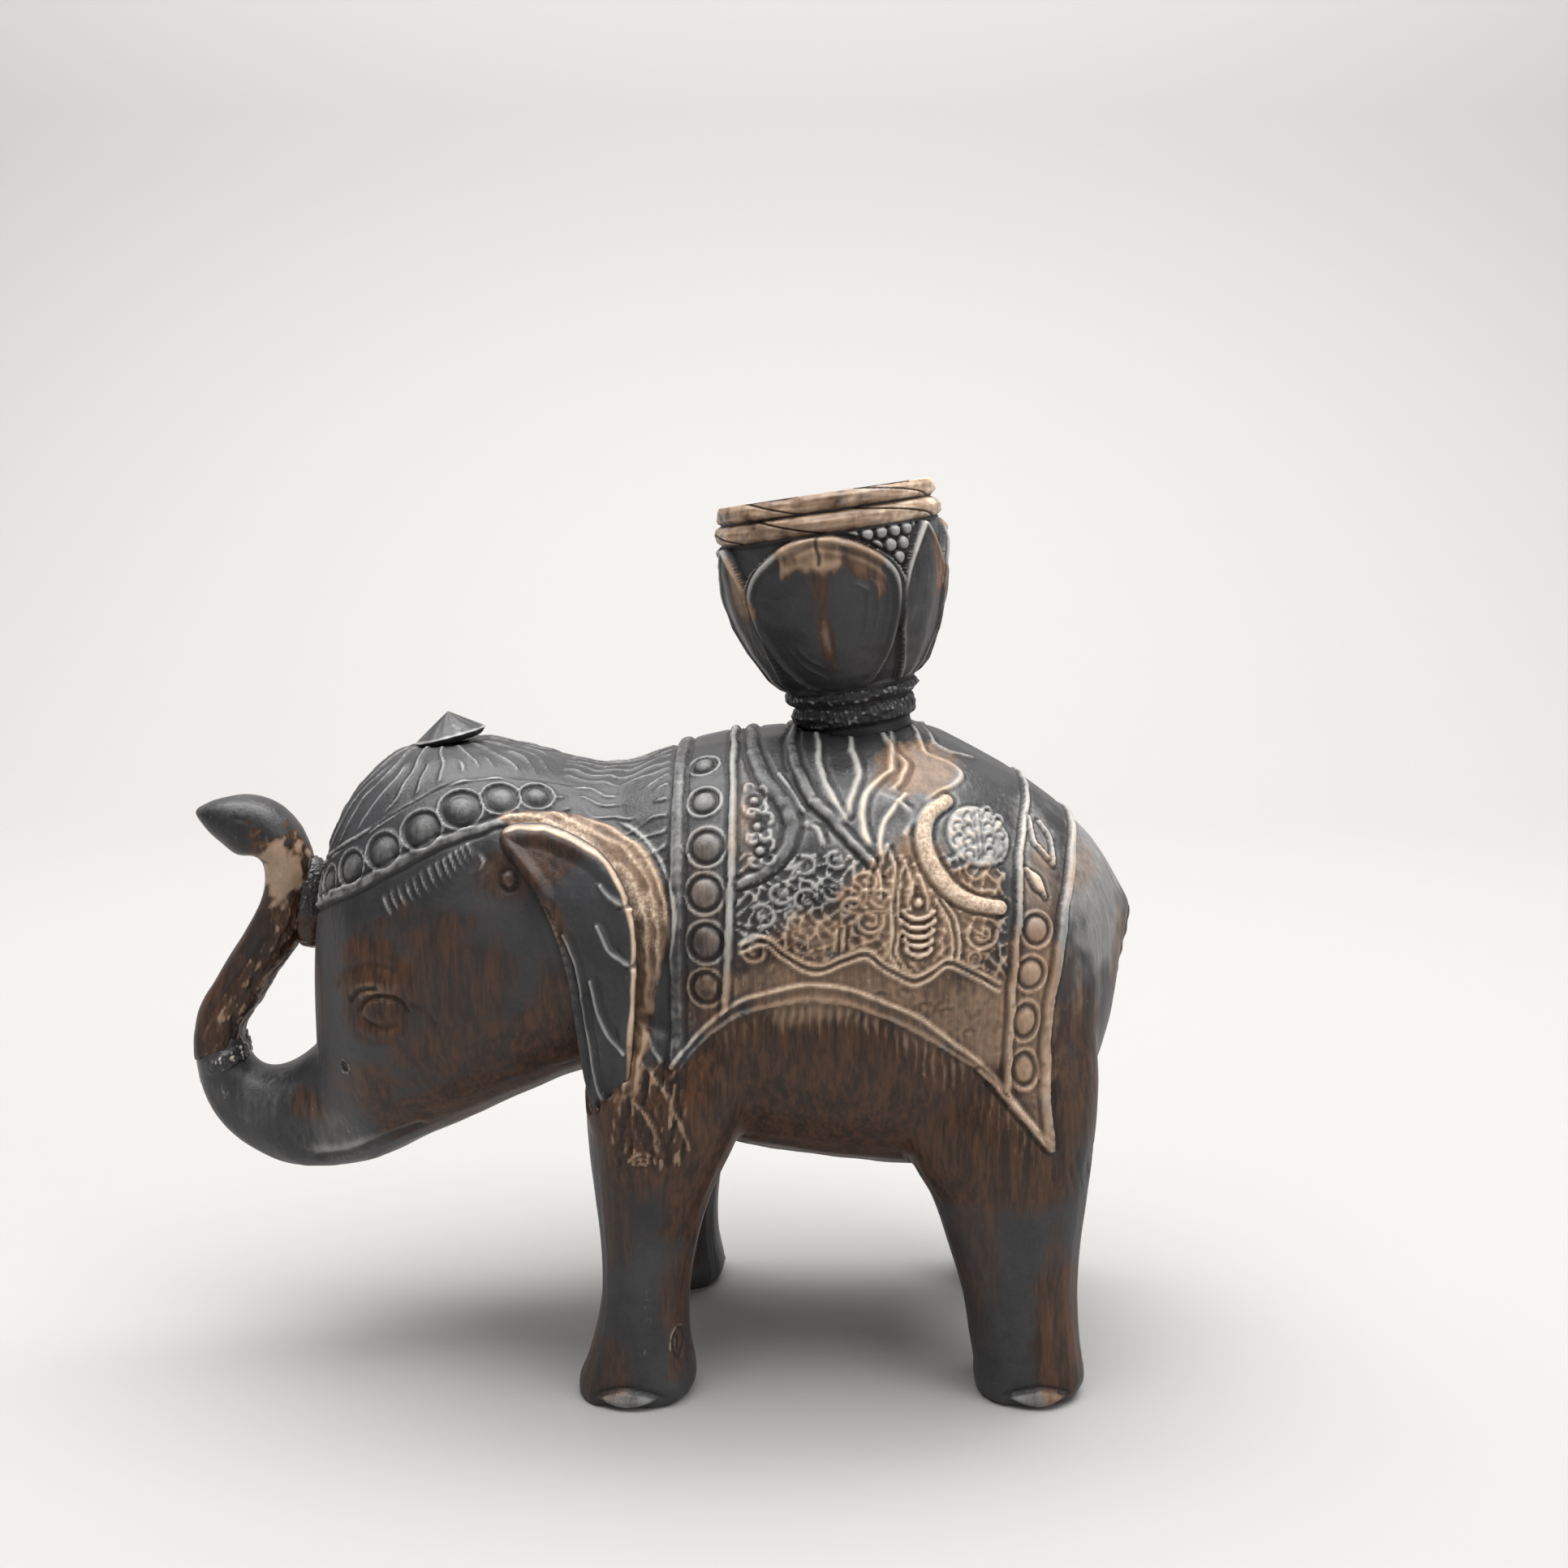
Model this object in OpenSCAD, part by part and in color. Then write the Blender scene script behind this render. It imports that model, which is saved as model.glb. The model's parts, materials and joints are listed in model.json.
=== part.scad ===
// Carved wooden elephant with a lotus-shaped candle cup standing on its back.
// The head faces -X, the elephant's left side faces -Y and the four soles stand on Z = 0. Millimetres.

/* [Block] */
// Width of the carved block across the saddle cloth
block_w = 84; // [78:1:90]
// Height of the back under the candle cup
back_h = 138.5; // [134:0.5:142]
// Height of the belly between the legs
belly_h = 44; // [40:1:48]
// Distance between the middles of a left leg and a right leg
leg_gap_w = 51; // [47:1:54]
// How much further back the right legs stand than the left legs: [front, rear]
right_leg_back = [4, 2]; // [0:0.5:5]

/* [Ears] */
// Thickness of an ear at its thickest part
ear_t = 5; // [4:0.5:6]
// Radius of a peg that holds an ear
peg_r = 1.5; // [1:0.25:2]
// Length of a peg that holds an ear
peg_l = 9; // [6:0.5:10]

/* [Trunk] */
// Half width of the trunk at its joint
trunk_hw = 7; // [6.5:0.1:8]
// Thickness of the resin in the trunk joint
resin_t = 1.2; // [0.8:0.1:2]
// Radius of the dowel across the trunk joint
trunk_dowel_r = 2; // [1.5:0.25:2.5]
// Length of the dowel across the trunk joint
trunk_dowel_l = 12; // [8:1:14]
// Height of the resin between the trunk and the forehead
resin_pad_h = 20; // [17:0.5:20]

/* [Candle cup] */
// Lean of the cup towards the head, in degrees
cup_lean = 8.4; // [0:0.2:12]
// Height of the cup above its foot line
cup_h = 47; // [44:0.5:50]
// Radius of the candle well
well_r = 19.25; // [18:0.25:20]
// Depth of the candle well
well_d = 22; // [15:1:26]
// Radius of the dowel under the cup
cup_dowel_r = 4; // [3:0.5:5]
// Length of the dowel under the cup
cup_dowel_l = 30; // [24:1:34]

/* [Details] */
// Radius of the cap on the crown of the head
cap_r = 8; // [7:0.5:9]
// Radius of an empty tusk hole
tusk_r = 1.2; // [0.8:0.1:1.8]
// Radial room around a glued dowel or peg
glue_gap = 0.1; // [0.05:0.05:0.2]

/* [Hidden] */
$fn = 48;
// Points round a ring of a carved shape, and steps between two of its stations.
ring_n = 32;
limb_n = 20;
steps = 2;
// Room between two glued pieces, so that they never overlap.
seat = 0.15;
deep = 60;

// The cup's foot line on the back, and the direction of its leaning axis.
cup_x = 42.4;
cup_z = back_h + 0.1;
cup_foot = 3.6;
dowel_drop = 17;
// The cap's seat on the crown.
cap_x = -43.4;
cap_z = 132.9;
cap_lean = 7;
cap_tenon_r = 3;
cap_tenon_l = 8;
// The trunk joint's plane runs across the trunk, from its inner side to its outer side.
joint_in = [-90.6, 65.4];
joint_out = [-101.3, 61.6];
joint_mid = (joint_in + joint_out) / 2;
joint_turn = atan2(joint_in[1] - joint_out[1], joint_in[0] - joint_out[0]);
joint_dir = [-sin(joint_turn), cos(joint_turn)];

dark_wood = "#2f2b28";
worn_wood = "#5a3d28";
bare_wood = "#c9a878";
resin = "#17130f";

// ---- Smooth shapes ----

// A point on the smooth curve through the stations, u running from 0 to the last station's index.
function curve(list, u) =
    let (n = len(list) - 1, i = min(floor(u), n - 1), t = u - i)
    let (a = list[max(i - 1, 0)], b = list[i], c = list[i + 1], d = list[min(i + 2, n)])
    0.5 * (2 * b + (c - a) * t + (2 * a - 5 * b + 4 * c - d) * t * t
        + (3 * b - a - 3 * c + d) * t * t * t);

function smooth(list) = [for (k = [0 : (len(list) - 1) * steps]) curve(list, k / steps)];

// Cosine and sine bent towards a square, for rings that are fuller than an ellipse.
function full(v, power) = sign(v) * pow(abs(v), power);

// Joins rings of equal point counts into one closed solid.
module skin(rings) {
    n = len(rings[0]);
    last = len(rings) - 1;
    sides = [for (j = [0 : last - 1]) for (i = [0 : n - 1])
        let (k = (i + 1) % n)
        each [[j * n + i, (j + 1) * n + i, (j + 1) * n + k], [j * n + i, (j + 1) * n + k, j * n + k]]];
    polyhedron(
        points = [for (ring = rings) each ring],
        faces = concat(sides, [[for (i = [0 : n - 1]) i]], [[for (i = [n - 1 : -1 : 0]) last * n + i]]));
}

// A ring across the XZ plane, between an upper and a lower point, with its half width along Y.
// A station is [upper x, upper z, lower x, lower z, half width].
function slice(s, n, grow) =
    let (mx = (s[0] + s[2]) / 2, mz = (s[1] + s[3]) / 2, dx = (s[0] - s[2]) / 2, dz = (s[1] - s[3]) / 2)
    let (half = norm([dx, dz]), k = (half + grow) / half)
    [for (i = [0 : n - 1]) let (a = 360 * i / n)
        [mx + k * dx * full(sin(a), 0.9), -(s[4] + grow) * full(cos(a), 0.9),
            mz + k * dz * full(sin(a), 0.9)]];

module carved(stations, n, grow = 0) {
    skin([for (s = smooth(stations)) slice(s, n, grow)]);
}

// The trunk's section at its joint, moved a distance along the trunk.
function joint_station(along) =
    let (a = joint_in + along * joint_dir, b = joint_out + along * joint_dir)
    [a[0], a[1], b[0], b[1], trunk_hw];

// ---- Stations of the carved block ----

// Torso: [x, top, bottom, half width, height where it is widest].
torso_stations = [
    [-9, back_h - 11, 63, 31, 96],
    [4, back_h - 5.6, belly_h + 9, 37, 93],
    [16, back_h - 2.4, belly_h + 3, 40, 90],
    [34, back_h - 0.7, belly_h, 42, 88],
    [54, back_h, belly_h - 2, 42, 87],
    [68, back_h - 5.8, belly_h - 2, 40.2, 86],
    [80, back_h - 13, belly_h + 2, 36, 85],
    [90, back_h - 21, belly_h + 12, 29, 85],
    [96, back_h - 29, belly_h + 26, 19, 89],
    [98.2, back_h - 33, belly_h + 41, 14, 94],
    [100.4, back_h - 37, belly_h + 49, 8, 97],
    [101.8, back_h - 39.5, belly_h + 53.5, 2.5, 98],
];

// Head, from the neck round the face to the trunk joint.
head_stations = [
    [0, 131, 0, 62, 30],
    [-11, 128.3, -14, 62.4, 32.5],
    [-22, 130.8, -25, 58.2, 33.5],
    [-34, 133.8, -34, 54, 34],
    [-45, 134.4, -42, 50, 33],
    [-55, 131.2, -50, 46.4, 31],
    [-63, 124.3, -56.5, 43, 28.5],
    [-68.6, 114, -62, 40.4, 23.5],
    [-71.4, 103, -67, 39, 18.5],
    [-72, 93, -71, 38.2, 14.5],
    [-70.2, 83, -75, 38, 12],
    [-70, 75, -79, 38.1, 11],
    [-73.8, 68.2, -83.6, 39.2, 10.4],
    [-79.2, 63.2, -88.4, 41.6, 9.6],
    [-84, 61, -93.4, 45, 8.6],
    [-87.6, 61.4, -97.8, 50, 7.8],
    [-89.8, 63.4, -100.4, 56, trunk_hw + 0.3],
    joint_station(0),
];

// Trunk above the joint, up to the tip.
trunk_stations = [
    joint_station(resin_t + 2 * seat),
    [-90.4, 70, -101.7, 69, trunk_hw - 0.3],
    [-88, 73.6, -100, 75, trunk_hw - 0.5],
    [-84.8, 78.5, -96.2, 81.6, trunk_hw - 0.6],
    [-81.8, 82.8, -92.4, 87.4, trunk_hw - 0.7],
    [-78.4, 87.6, -88.8, 93, trunk_hw - 0.8],
    [-75.8, 93.4, -85.9, 98, trunk_hw - 0.8],
    [-74.4, 99.6, -84.4, 103, trunk_hw - 0.7],
    [-73.8, 105.6, -84.7, 107.2, trunk_hw - 0.4],
    [-75.2, 111.4, -86.6, 108.4, trunk_hw + 0.2],
    [-78, 116.8, -90, 108.4, trunk_hw + 0.5],
    [-82.6, 120.3, -93.6, 111.2, trunk_hw + 0.3],
    [-88.6, 121.6, -96.4, 114.2, trunk_hw - 0.8],
    [-94.6, 120.4, -98.2, 116.4, trunk_hw - 2.6],
    [-98.6, 118.7, -99, 117.4, 1.6],
];

// Legs: [height, middle x, half length along X, half length along Y, shift outwards].
front_leg_stations = [
    [0, -3.9, 12.2, 11.6, 1],
    [4, -2.9, 12.3, 11.8, 1],
    [11, -2.3, 10.6, 10.8, 0.5],
    [21, -1.4, 9.6, 10.2, 0],
    [32, -0.6, 10.5, 10.6, 0],
    [43, 0.4, 12.6, 12, 0],
    [54, 2.4, 15.6, 14, 0.5],
    [66, 5, 18.5, 15.5, 0],
    [80, 9, 20, 15, -3],
];
rear_leg_stations = [
    [0, 78, 11, 11, 1],
    [4, 78.7, 11.8, 11.4, 1],
    [11, 77.6, 12, 11.2, 0.5],
    [21, 76.5, 12.4, 11.4, 0],
    [32, 75, 14.2, 12, 0],
    [43, 73.6, 16.8, 13, 0],
    [54, 71, 20.6, 14.5, 0],
    [66, 70, 22.5, 15, -1.5],
    [80, 69, 23, 14, -4],
];

// Ears: [height, front x, rear x, middle y at the front, middle y at the rear, half thickness].
ear_stations = [
    [57.5, -6.5, -3.5, 33, 34, 0.8],
    [60, -9.5, -2.6, 33, 34.8, 1.6],
    [66, -12, -2.8, 32.8, 35.6, 2.1],
    [74, -13.4, -2.6, 33, 36, ear_t / 2],
    [84, -14.6, -1.8, 33.6, 36.2, ear_t / 2],
    [93, -16, -1.4, 34, 36, ear_t / 2],
    [101, -18.4, -1.6, 34, 35.2, ear_t / 2],
    [107, -21.4, -3, 33.2, 34, ear_t / 2],
    [112, -25, -5.6, 31.6, 32.4, 2.3],
    [116, -28.6, -9.4, 29.4, 30.4, 2],
    [119, -29, -15.4, 27.2, 28.4, 1.4],
    [120.4, -26, -20, 26, 26.6, 0.6],
];
ear_peg_heights = [76, 100];
// Distance of an ear peg's outer end from the middle plane, and its place along X.
ear_peg_y = 34.2;
ear_peg_x = -9;

// Tail: [height, middle x, half thickness along X, half width along Y].
tail_stations = [
    [69.5, 96.6, 0.6, 0.9],
    [72, 96.9, 1.4, 2],
    [77, 97.6, 1.6, 2.4],
    [84, 98.8, 1.5, 2.1],
    [90, 100, 1.4, 2.2],
    [94, 100.9, 1.2, 2.4],
    [97.5, 101.6, 0.6, 1.4],
];

function torso_ring(s) =
    [for (i = [0 : ring_n - 1]) let (a = 360 * i / ring_n, up = sin(a) > 0 ? s[1] - s[4] : s[4] - s[2])
        [s[0], s[3] * full(cos(a), 0.88), s[4] + up * full(sin(a), 0.88)]];

function leg_ring(s, side, back) =
    [for (i = [0 : limb_n - 1]) let (a = 360 * i / limb_n)
        [s[1] + back + s[2] * full(cos(a), 0.85),
            side * (leg_gap_w / 2 + s[4]) + s[3] * full(sin(a), 0.85), s[0]]];

// An ear's ring is level: a thin blade from the front edge to the rear edge.
function ear_ring(s, side, grow) =
    let (half = (s[2] - s[1]) / 2 + grow, mid = (s[1] + s[2]) / 2, lean = (s[4] - s[3]) / 2)
    [for (i = [0 : limb_n - 1]) let (a = 360 * i / limb_n)
        [mid + half * full(cos(a), 0.8),
            side * ((s[3] + s[4]) / 2 + lean * cos(a) + (s[5] + grow) * full(side * sin(a), 0.8)), s[0]]];

module ear_shape(side, grow = 0) {
    skin([for (s = smooth(ear_stations)) ear_ring(s, side, grow)]);
}

module tail_shape(grow = 0) {
    skin([for (s = smooth(tail_stations))
        [for (i = [0 : limb_n - 1]) let (a = 360 * i / limb_n)
            [s[1] + (s[2] + grow) * cos(a), (s[3] + grow) * sin(a), s[0]]]]);
}

module leg(stations, side, back) {
    skin([for (s = smooth(stations)) leg_ring(s, side, back)]);
}

// ---- Joinery ----

// Moves its children to the cup's foot line, with their Z along the leaning axis.
module at_cup() {
    translate([cup_x, 0, cup_z]) rotate([0, -cup_lean, 0]) children();
}

// Moves its children to the middle of the trunk joint, with their Z along the trunk.
module at_joint() {
    translate([joint_mid[0], 0, joint_mid[1]]) rotate([0, -joint_turn, 0]) children();
}

module at_cap() {
    translate([cap_x, 0, cap_z]) rotate([0, -cap_lean, 0]) children();
}

module cup_dowel_shape(grow) {
    at_cup() translate([0, 0, -dowel_drop - grow])
        cylinder(r = cup_dowel_r + grow, h = cup_dowel_l + 2 * grow);
}

module trunk_dowel_shape(grow) {
    at_joint() translate([0, 0, (resin_t - trunk_dowel_l) / 2 - grow])
        cylinder(r = trunk_dowel_r + grow, h = trunk_dowel_l + 2 * grow);
}

// Two pegs behind each ear, pointing in towards the head.
module peg_shapes(side, grow) {
    for (z = ear_peg_heights)
        translate([ear_peg_x, side * ear_peg_y, z]) rotate([side * 90, 0, 0])
            translate([0, 0, -grow]) cylinder(r = peg_r + grow, h = peg_l + 2 * grow);
}

// An empty tusk hole in each cheek, beside the mouth.
module tusk_hole(side) {
    translate([-57, side * 16, 68]) rotate([side * -78, 0, 0]) rotate([0, -30, 0])
        cylinder(r = tusk_r, h = deep / 2);
}

// ---- Pieces ----

module body_shape() {
    difference() {
        union() {
            skin([for (s = smooth(torso_stations)) torso_ring(s)]);
            carved(head_stations, ring_n);
            for (side = [-1, 1]) {
                leg(front_leg_stations, side, side > 0 ? right_leg_back[0] : 0);
                leg(rear_leg_stations, side, side > 0 ? right_leg_back[1] : 0);
            }
        }
        for (side = [-1, 1]) ear_shape(side, seat);
        tail_shape(seat);
    }
}

module body_block() {
    color(dark_wood) difference() {
        resize([0, block_w, 0]) body_shape();
        at_cup() translate([0, 0, -cup_foot]) cylinder(r = 11.6 + seat, h = deep / 2);
        cup_dowel_shape(glue_gap);
        at_cap() cylinder(r = cap_r + seat, h = deep / 2);
        at_cap() translate([0, 0, -cap_tenon_l - glue_gap])
            cylinder(r = cap_tenon_r + glue_gap, h = deep / 2);
        for (side = [-1, 1]) {
            peg_shapes(side, glue_gap);
            tusk_hole(side);
        }
        trunk_dowel_shape(glue_gap);
    }
}

module ear(side) {
    color(dark_wood) difference() {
        ear_shape(side);
        peg_shapes(side, glue_gap);
    }
}

module ear_left() {
    ear(-1);
}

module ear_right() {
    ear(1);
}

module ear_pegs() {
    color(bare_wood) for (side = [-1, 1]) peg_shapes(side, 0);
}

module trunk() {
    color(worn_wood) difference() {
        carved(trunk_stations, limb_n);
        trunk_dowel_shape(glue_gap);
    }
}

// Resin in the trunk joint, squeezed out a little all round.
module trunk_glue() {
    rim = 0.7;
    color(resin) difference() {
        skin([
            slice(joint_station(seat), limb_n, 0),
            slice(joint_station(seat + resin_t / 3), limb_n, rim),
            slice(joint_station(seat + 2 * resin_t / 3), limb_n, rim),
            slice(joint_station(seat + resin_t), limb_n, 0)]);
        trunk_dowel_shape(glue_gap);
    }
}

// Resin between the trunk and the forehead that it leans on.
module forehead_glue() {
    pad_z = 98;
    color(resin) translate([0, 0, pad_z]) resize([0, 0, resin_pad_h]) translate([0, 0, -pad_z]) difference() {
        translate([-75, 0, pad_z]) scale([6, 5.4, resin_pad_h / 2]) sphere(1, $fn = limb_n);
        carved(trunk_stations, limb_n, seat);
        carved(head_stations, ring_n, seat);
    }
}

module lotus_cup() {
    color(worn_wood) at_cup() difference() {
        rotate_extrude() polygon([
            [0, -cup_foot], [11.6, -cup_foot], [11.6, 0.4], [13, 1], [13.7, 2.3], [13, 3.6], [13.6, 4],
            [14.7, 5.2], [14.4, 6.6], [17.6, 10], [20.9, 16], [23.2, 22], [24.5, 27.6], [24.9, 33],
            [24.5, 38.6], [23.2, 39], [23.9, 40.2], [24, 41.6], [23.2, 43], [22.7, 43.4],
            [23.3, 44.4], [23, 46], [22.2, cup_h], [0, cup_h]]);
        translate([0, 0, cup_h - well_d]) cylinder(r = well_r, h = well_d + 1);
        translate([0, 0, -dowel_drop]) cylinder(r = cup_dowel_r + glue_gap, h = cup_dowel_l + glue_gap);
    }
}

module cup_dowel() {
    color(bare_wood) cup_dowel_shape(0);
}

module trunk_dowel() {
    color(bare_wood) trunk_dowel_shape(0);
}

module tail() {
    color(dark_wood) tail_shape();
}

module crown_finial() {
    color(dark_wood) at_cap() rotate_extrude() polygon([
        [0, -cap_tenon_l], [cap_tenon_r, -cap_tenon_l], [cap_tenon_r, seat], [cap_r, seat],
        [cap_r, 1.4], [cap_r * 0.6, 3.6], [cap_r * 0.25, 5.6], [0, 6.3]]);
}

body_block();
ear_left();
ear_right();
ear_pegs();
trunk();
trunk_glue();
forehead_glue();
lotus_cup();
cup_dowel();
trunk_dowel();
crown_finial();
tail();
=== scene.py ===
"""A carved wooden elephant with a lotus-shaped candle cup on its back, in a plain soft studio.

Each carved piece is a softened copy of its CAD solid, or rings of points for the cup, the cap and the
trunk's resin. Its relief is a height map on those points, in millimetres, where 0 is the CAD surface.
The head faces -X. The relief is the same on both sides, so it is worked out from |y|.
"""
import json
import math
import bpy
import numpy as np
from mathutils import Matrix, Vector
from mathutils.kdtree import KDTree


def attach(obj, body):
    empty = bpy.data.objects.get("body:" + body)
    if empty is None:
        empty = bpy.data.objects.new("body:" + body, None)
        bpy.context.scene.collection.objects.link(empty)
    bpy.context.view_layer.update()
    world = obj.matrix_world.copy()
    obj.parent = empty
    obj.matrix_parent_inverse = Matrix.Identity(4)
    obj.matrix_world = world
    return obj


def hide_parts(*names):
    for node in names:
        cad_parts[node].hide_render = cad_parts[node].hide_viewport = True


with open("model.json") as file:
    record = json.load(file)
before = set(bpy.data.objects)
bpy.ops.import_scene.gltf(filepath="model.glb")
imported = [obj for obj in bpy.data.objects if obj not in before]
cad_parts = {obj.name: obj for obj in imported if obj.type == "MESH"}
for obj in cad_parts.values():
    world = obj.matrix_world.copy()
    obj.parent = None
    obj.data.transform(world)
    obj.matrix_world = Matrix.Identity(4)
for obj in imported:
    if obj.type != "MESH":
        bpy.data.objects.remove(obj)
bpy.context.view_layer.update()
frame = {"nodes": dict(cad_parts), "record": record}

MM = 0.001
FAR = 1e9


# ---- Lines and shapes, in millimetres ----

def spline(points, parts=6):
    """A smooth curve through the points (Catmull-Rom)."""
    p = np.asarray(points, float)
    if len(p) < 3:
        t = np.linspace(0, 1, parts + 1)[:, None]
        return p[0] + (p[-1] - p[0]) * t
    p = np.vstack([2 * p[0] - p[1], p, 2 * p[-1] - p[-2]])
    out = []
    for a, b, c, d in zip(p[:-3], p[1:-2], p[2:-1], p[3:]):
        for t in np.arange(parts) / parts:
            out.append(0.5 * (2 * b + (c - a) * t + (2 * a - 5 * b + 4 * c - d) * t ** 2
                              + (3 * b - a - 3 * c + d) * t ** 3))
    out.append(p[-2])
    return np.array(out)


def step(value, low, high):
    """0 below low, 1 above high, smooth between them."""
    t = np.clip((value - low) / (high - low), 0, 1)
    return t * t * (3 - 2 * t)


def within(value, start, full, fade, end):
    """1 from full to fade, 0 below start and above end, smooth between them."""
    return step(value, start, full) * (1 - step(value, fade, end))


def bell(value, width):
    """1 where value is 0, falling off smoothly to both sides over about width."""
    return np.exp(-(value / width) ** 2)


def dome(value, radius):
    """The height of a half circle: 1 where value is 0, and 0 from radius on."""
    return np.sqrt(np.clip(1 - (value / radius) ** 2, 0, 1))


def along(points, value):
    """Straight lines through (value, result) points, in rising order of value."""
    v, r = zip(*sorted(points))
    return np.interp(value, v, r)


def waves(co, size, seed, octaves=3):
    """Cheap smooth noise, about -1 to 1, from sums of turned sine waves; size is its grain in mm."""
    draw = np.random.default_rng(seed)
    total = np.zeros(len(co))
    weight = 0
    for octave in range(octaves):
        turn = draw.normal(size=(5, 3))
        turn /= np.linalg.norm(turn, axis=1)[:, None]
        shift = draw.uniform(0, 2 * math.pi, 5)
        k = 2 * math.pi / size * 1.9 ** octave
        bend = np.sin(co[:, [1, 2, 0]] * k * 0.37 + shift[:3])
        total += sum(np.sin((co @ turn[i]) * k + shift[i] + 1.3 * bend[:, i % 3]) for i in range(5)) \
            / 5 * 0.6 ** octave
        weight += 0.6 ** octave
    return np.clip(total / weight * 2.2, -1, 1)


def arc(x, z, wide, tall, start, stop, count=7):
    """Points along a part of an ellipse; start and stop are in half turns."""
    angle = np.linspace(start * math.pi, stop * math.pi, count)
    return np.stack([x + wide * np.cos(angle), z + tall * np.sin(angle)], 1)


def from_line(points, curve):
    """Each point's distance from a line, and how far along the line its nearest spot is."""
    best = np.full(len(points), FAR)
    far = np.zeros(len(points))
    run = 0.0
    for a, b in zip(curve[:-1], curve[1:]):
        d = b - a
        length = np.linalg.norm(d)
        if length < 1e-6:
            continue
        t = np.clip((points - a) @ d / length ** 2, 0, 1)
        gap = np.linalg.norm(points - a - t[:, None] * d, axis=1)
        closer = gap < best
        best[closer] = gap[closer]
        far[closer] = (run + t * length)[closer]
        run += length
    return best, far


def threads(count, pitch, half):
    """Thin lines, one at each whole number of count, pitch mm apart and half mm to each side."""
    gap = np.abs(count - np.round(count)) * pitch
    return bell(gap, half)


# ---- Softened copies of the CAD solids ----

SHARP_BULGE = 0.05
SOLE_HIGH = 0.35


def link(name, data):
    """A new object in the scene."""
    obj = bpy.data.objects.new(name, data)
    bpy.context.scene.collection.objects.link(obj)
    return obj


def applied(obj):
    """The object with its modifiers applied to its mesh."""
    deps = bpy.context.evaluated_depsgraph_get()
    mesh = bpy.data.meshes.new_from_object(obj.evaluated_get(deps))
    obj.modifiers.clear()
    obj.data = mesh
    return obj


def points_of(mesh):
    """The mesh's points in millimetres."""
    co = np.empty(len(mesh.vertices) * 3, np.float32)
    mesh.vertices.foreach_get("co", co)
    return co.reshape(-1, 3).astype(float) / MM


def put_points(mesh, co):
    """Moves the mesh's points to places in millimetres."""
    mesh.vertices.foreach_set("co", (co * MM).astype(np.float32).ravel())
    mesh.update()


def edges_of(mesh):
    """The two point numbers of each edge."""
    e = np.empty(len(mesh.edges) * 2, np.int32)
    mesh.edges.foreach_get("vertices", e)
    return e.reshape(-1, 2)


def pull(co, edges, count):
    """Each point's step towards the middle of its neighbours."""
    a, b = edges[:, 0], edges[:, 1]
    total = np.empty_like(co)
    for k in range(co.shape[1]):
        total[:, k] = np.bincount(a, co[b, k], len(co)) + np.bincount(b, co[a, k], len(co))
    return total / count[:, None] - co


def soften(co, edges, rounds):
    """Smooths without shrinking: each inward pass is followed by an outward one."""
    count = np.maximum(np.bincount(edges.ravel(), minlength=len(co)), 1)
    for _ in range(rounds):
        co = co + 0.63 * pull(co, edges, count)
        co = co - 0.645 * pull(co, edges, count)
    return co


def softened(node, name, voxel, rounds):
    """A copy of a CAD node as an even net of quads, without its facets. voxel is in mm."""
    obj = link(name, frame["nodes"][node].data.copy())
    remesh = obj.modifiers.new("net", "REMESH")
    remesh.mode = "VOXEL"
    remesh.voxel_size = voxel * MM
    applied(obj)
    put_points(obj.data, soften(points_of(obj.data), edges_of(obj.data), rounds))
    finer = obj.modifiers.new("finer", "SUBSURF")
    finer.levels = 1
    applied(obj)
    obj.data.materials.clear()
    return obj


def normals_of(mesh):
    n = np.empty(len(mesh.vertices) * 3, np.float32)
    mesh.vertex_normals.foreach_get("vector", n)
    return n.reshape(-1, 3).astype(float)


def tree_of(points, use):
    """A search tree of the points whose numbers are in use."""
    tree = KDTree(len(use))
    for i in use:
        tree.insert(points[i], int(i))
    tree.balance()
    return tree


class Masks:
    """Heights and colour masks on a piece's points. A mark keeps the stronger of old and new."""

    def __init__(self, size):
        self.h, self.worn, self.sunk, self.brown, self.pale, self.shade = np.zeros((6, size))

    def wear_and_light(self, value, at=slice(None)):
        """Rubbed by hands; also painted sheen and painted highlights."""
        self.worn[at] = np.maximum(self.worn[at], value)

    def soil_and_shade(self, value, at=slice(None)):
        """Darker: grime in a cut, and painted shade in hollows, gaps and at the feet of parts."""
        self.sunk[at] = np.maximum(self.sunk[at], value)

    def tint(self, value, at=slice(None)):
        """Paint rubbed through to brown wood."""
        self.brown[at] = np.maximum(self.brown[at], value)

    def strip(self, value, at=slice(None)):
        """Bare, pale wood or filler."""
        self.pale[at] = np.maximum(self.pale[at], value)

    def shadow(self, value, at=slice(None)):
        """Painted shade: holds the painted sheen off these places."""
        self.shade[at] = np.maximum(self.shade[at], value)

    def write(self, mesh, co):
        """Writes the colour masks, and two more for the crests and pits of the shape at co."""
        edges = edges_of(mesh)
        count = np.maximum(np.bincount(edges.ravel(), minlength=len(co)), 1)
        bulge = -np.einsum("ij,ij->i", pull(co, edges, count), normals_of(mesh))
        for _ in range(2):
            bulge = bulge + 0.6 * pull(bulge[:, None], edges, count)[:, 0]
        layers = {"worn": self.worn, "sunk": self.sunk, "brown": self.brown, "pale": self.pale,
                  "crest": bulge / SHARP_BULGE, "pit": -bulge / SHARP_BULGE}
        for name, value in layers.items():
            layer = mesh.attributes.new(name, "FLOAT", "POINT")
            layer.data.foreach_set("value", np.clip(value, 0, 1).astype(np.float32))
        mesh.polygons.foreach_set("use_smooth", np.ones(len(mesh.polygons), bool))
        mesh.update()


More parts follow.
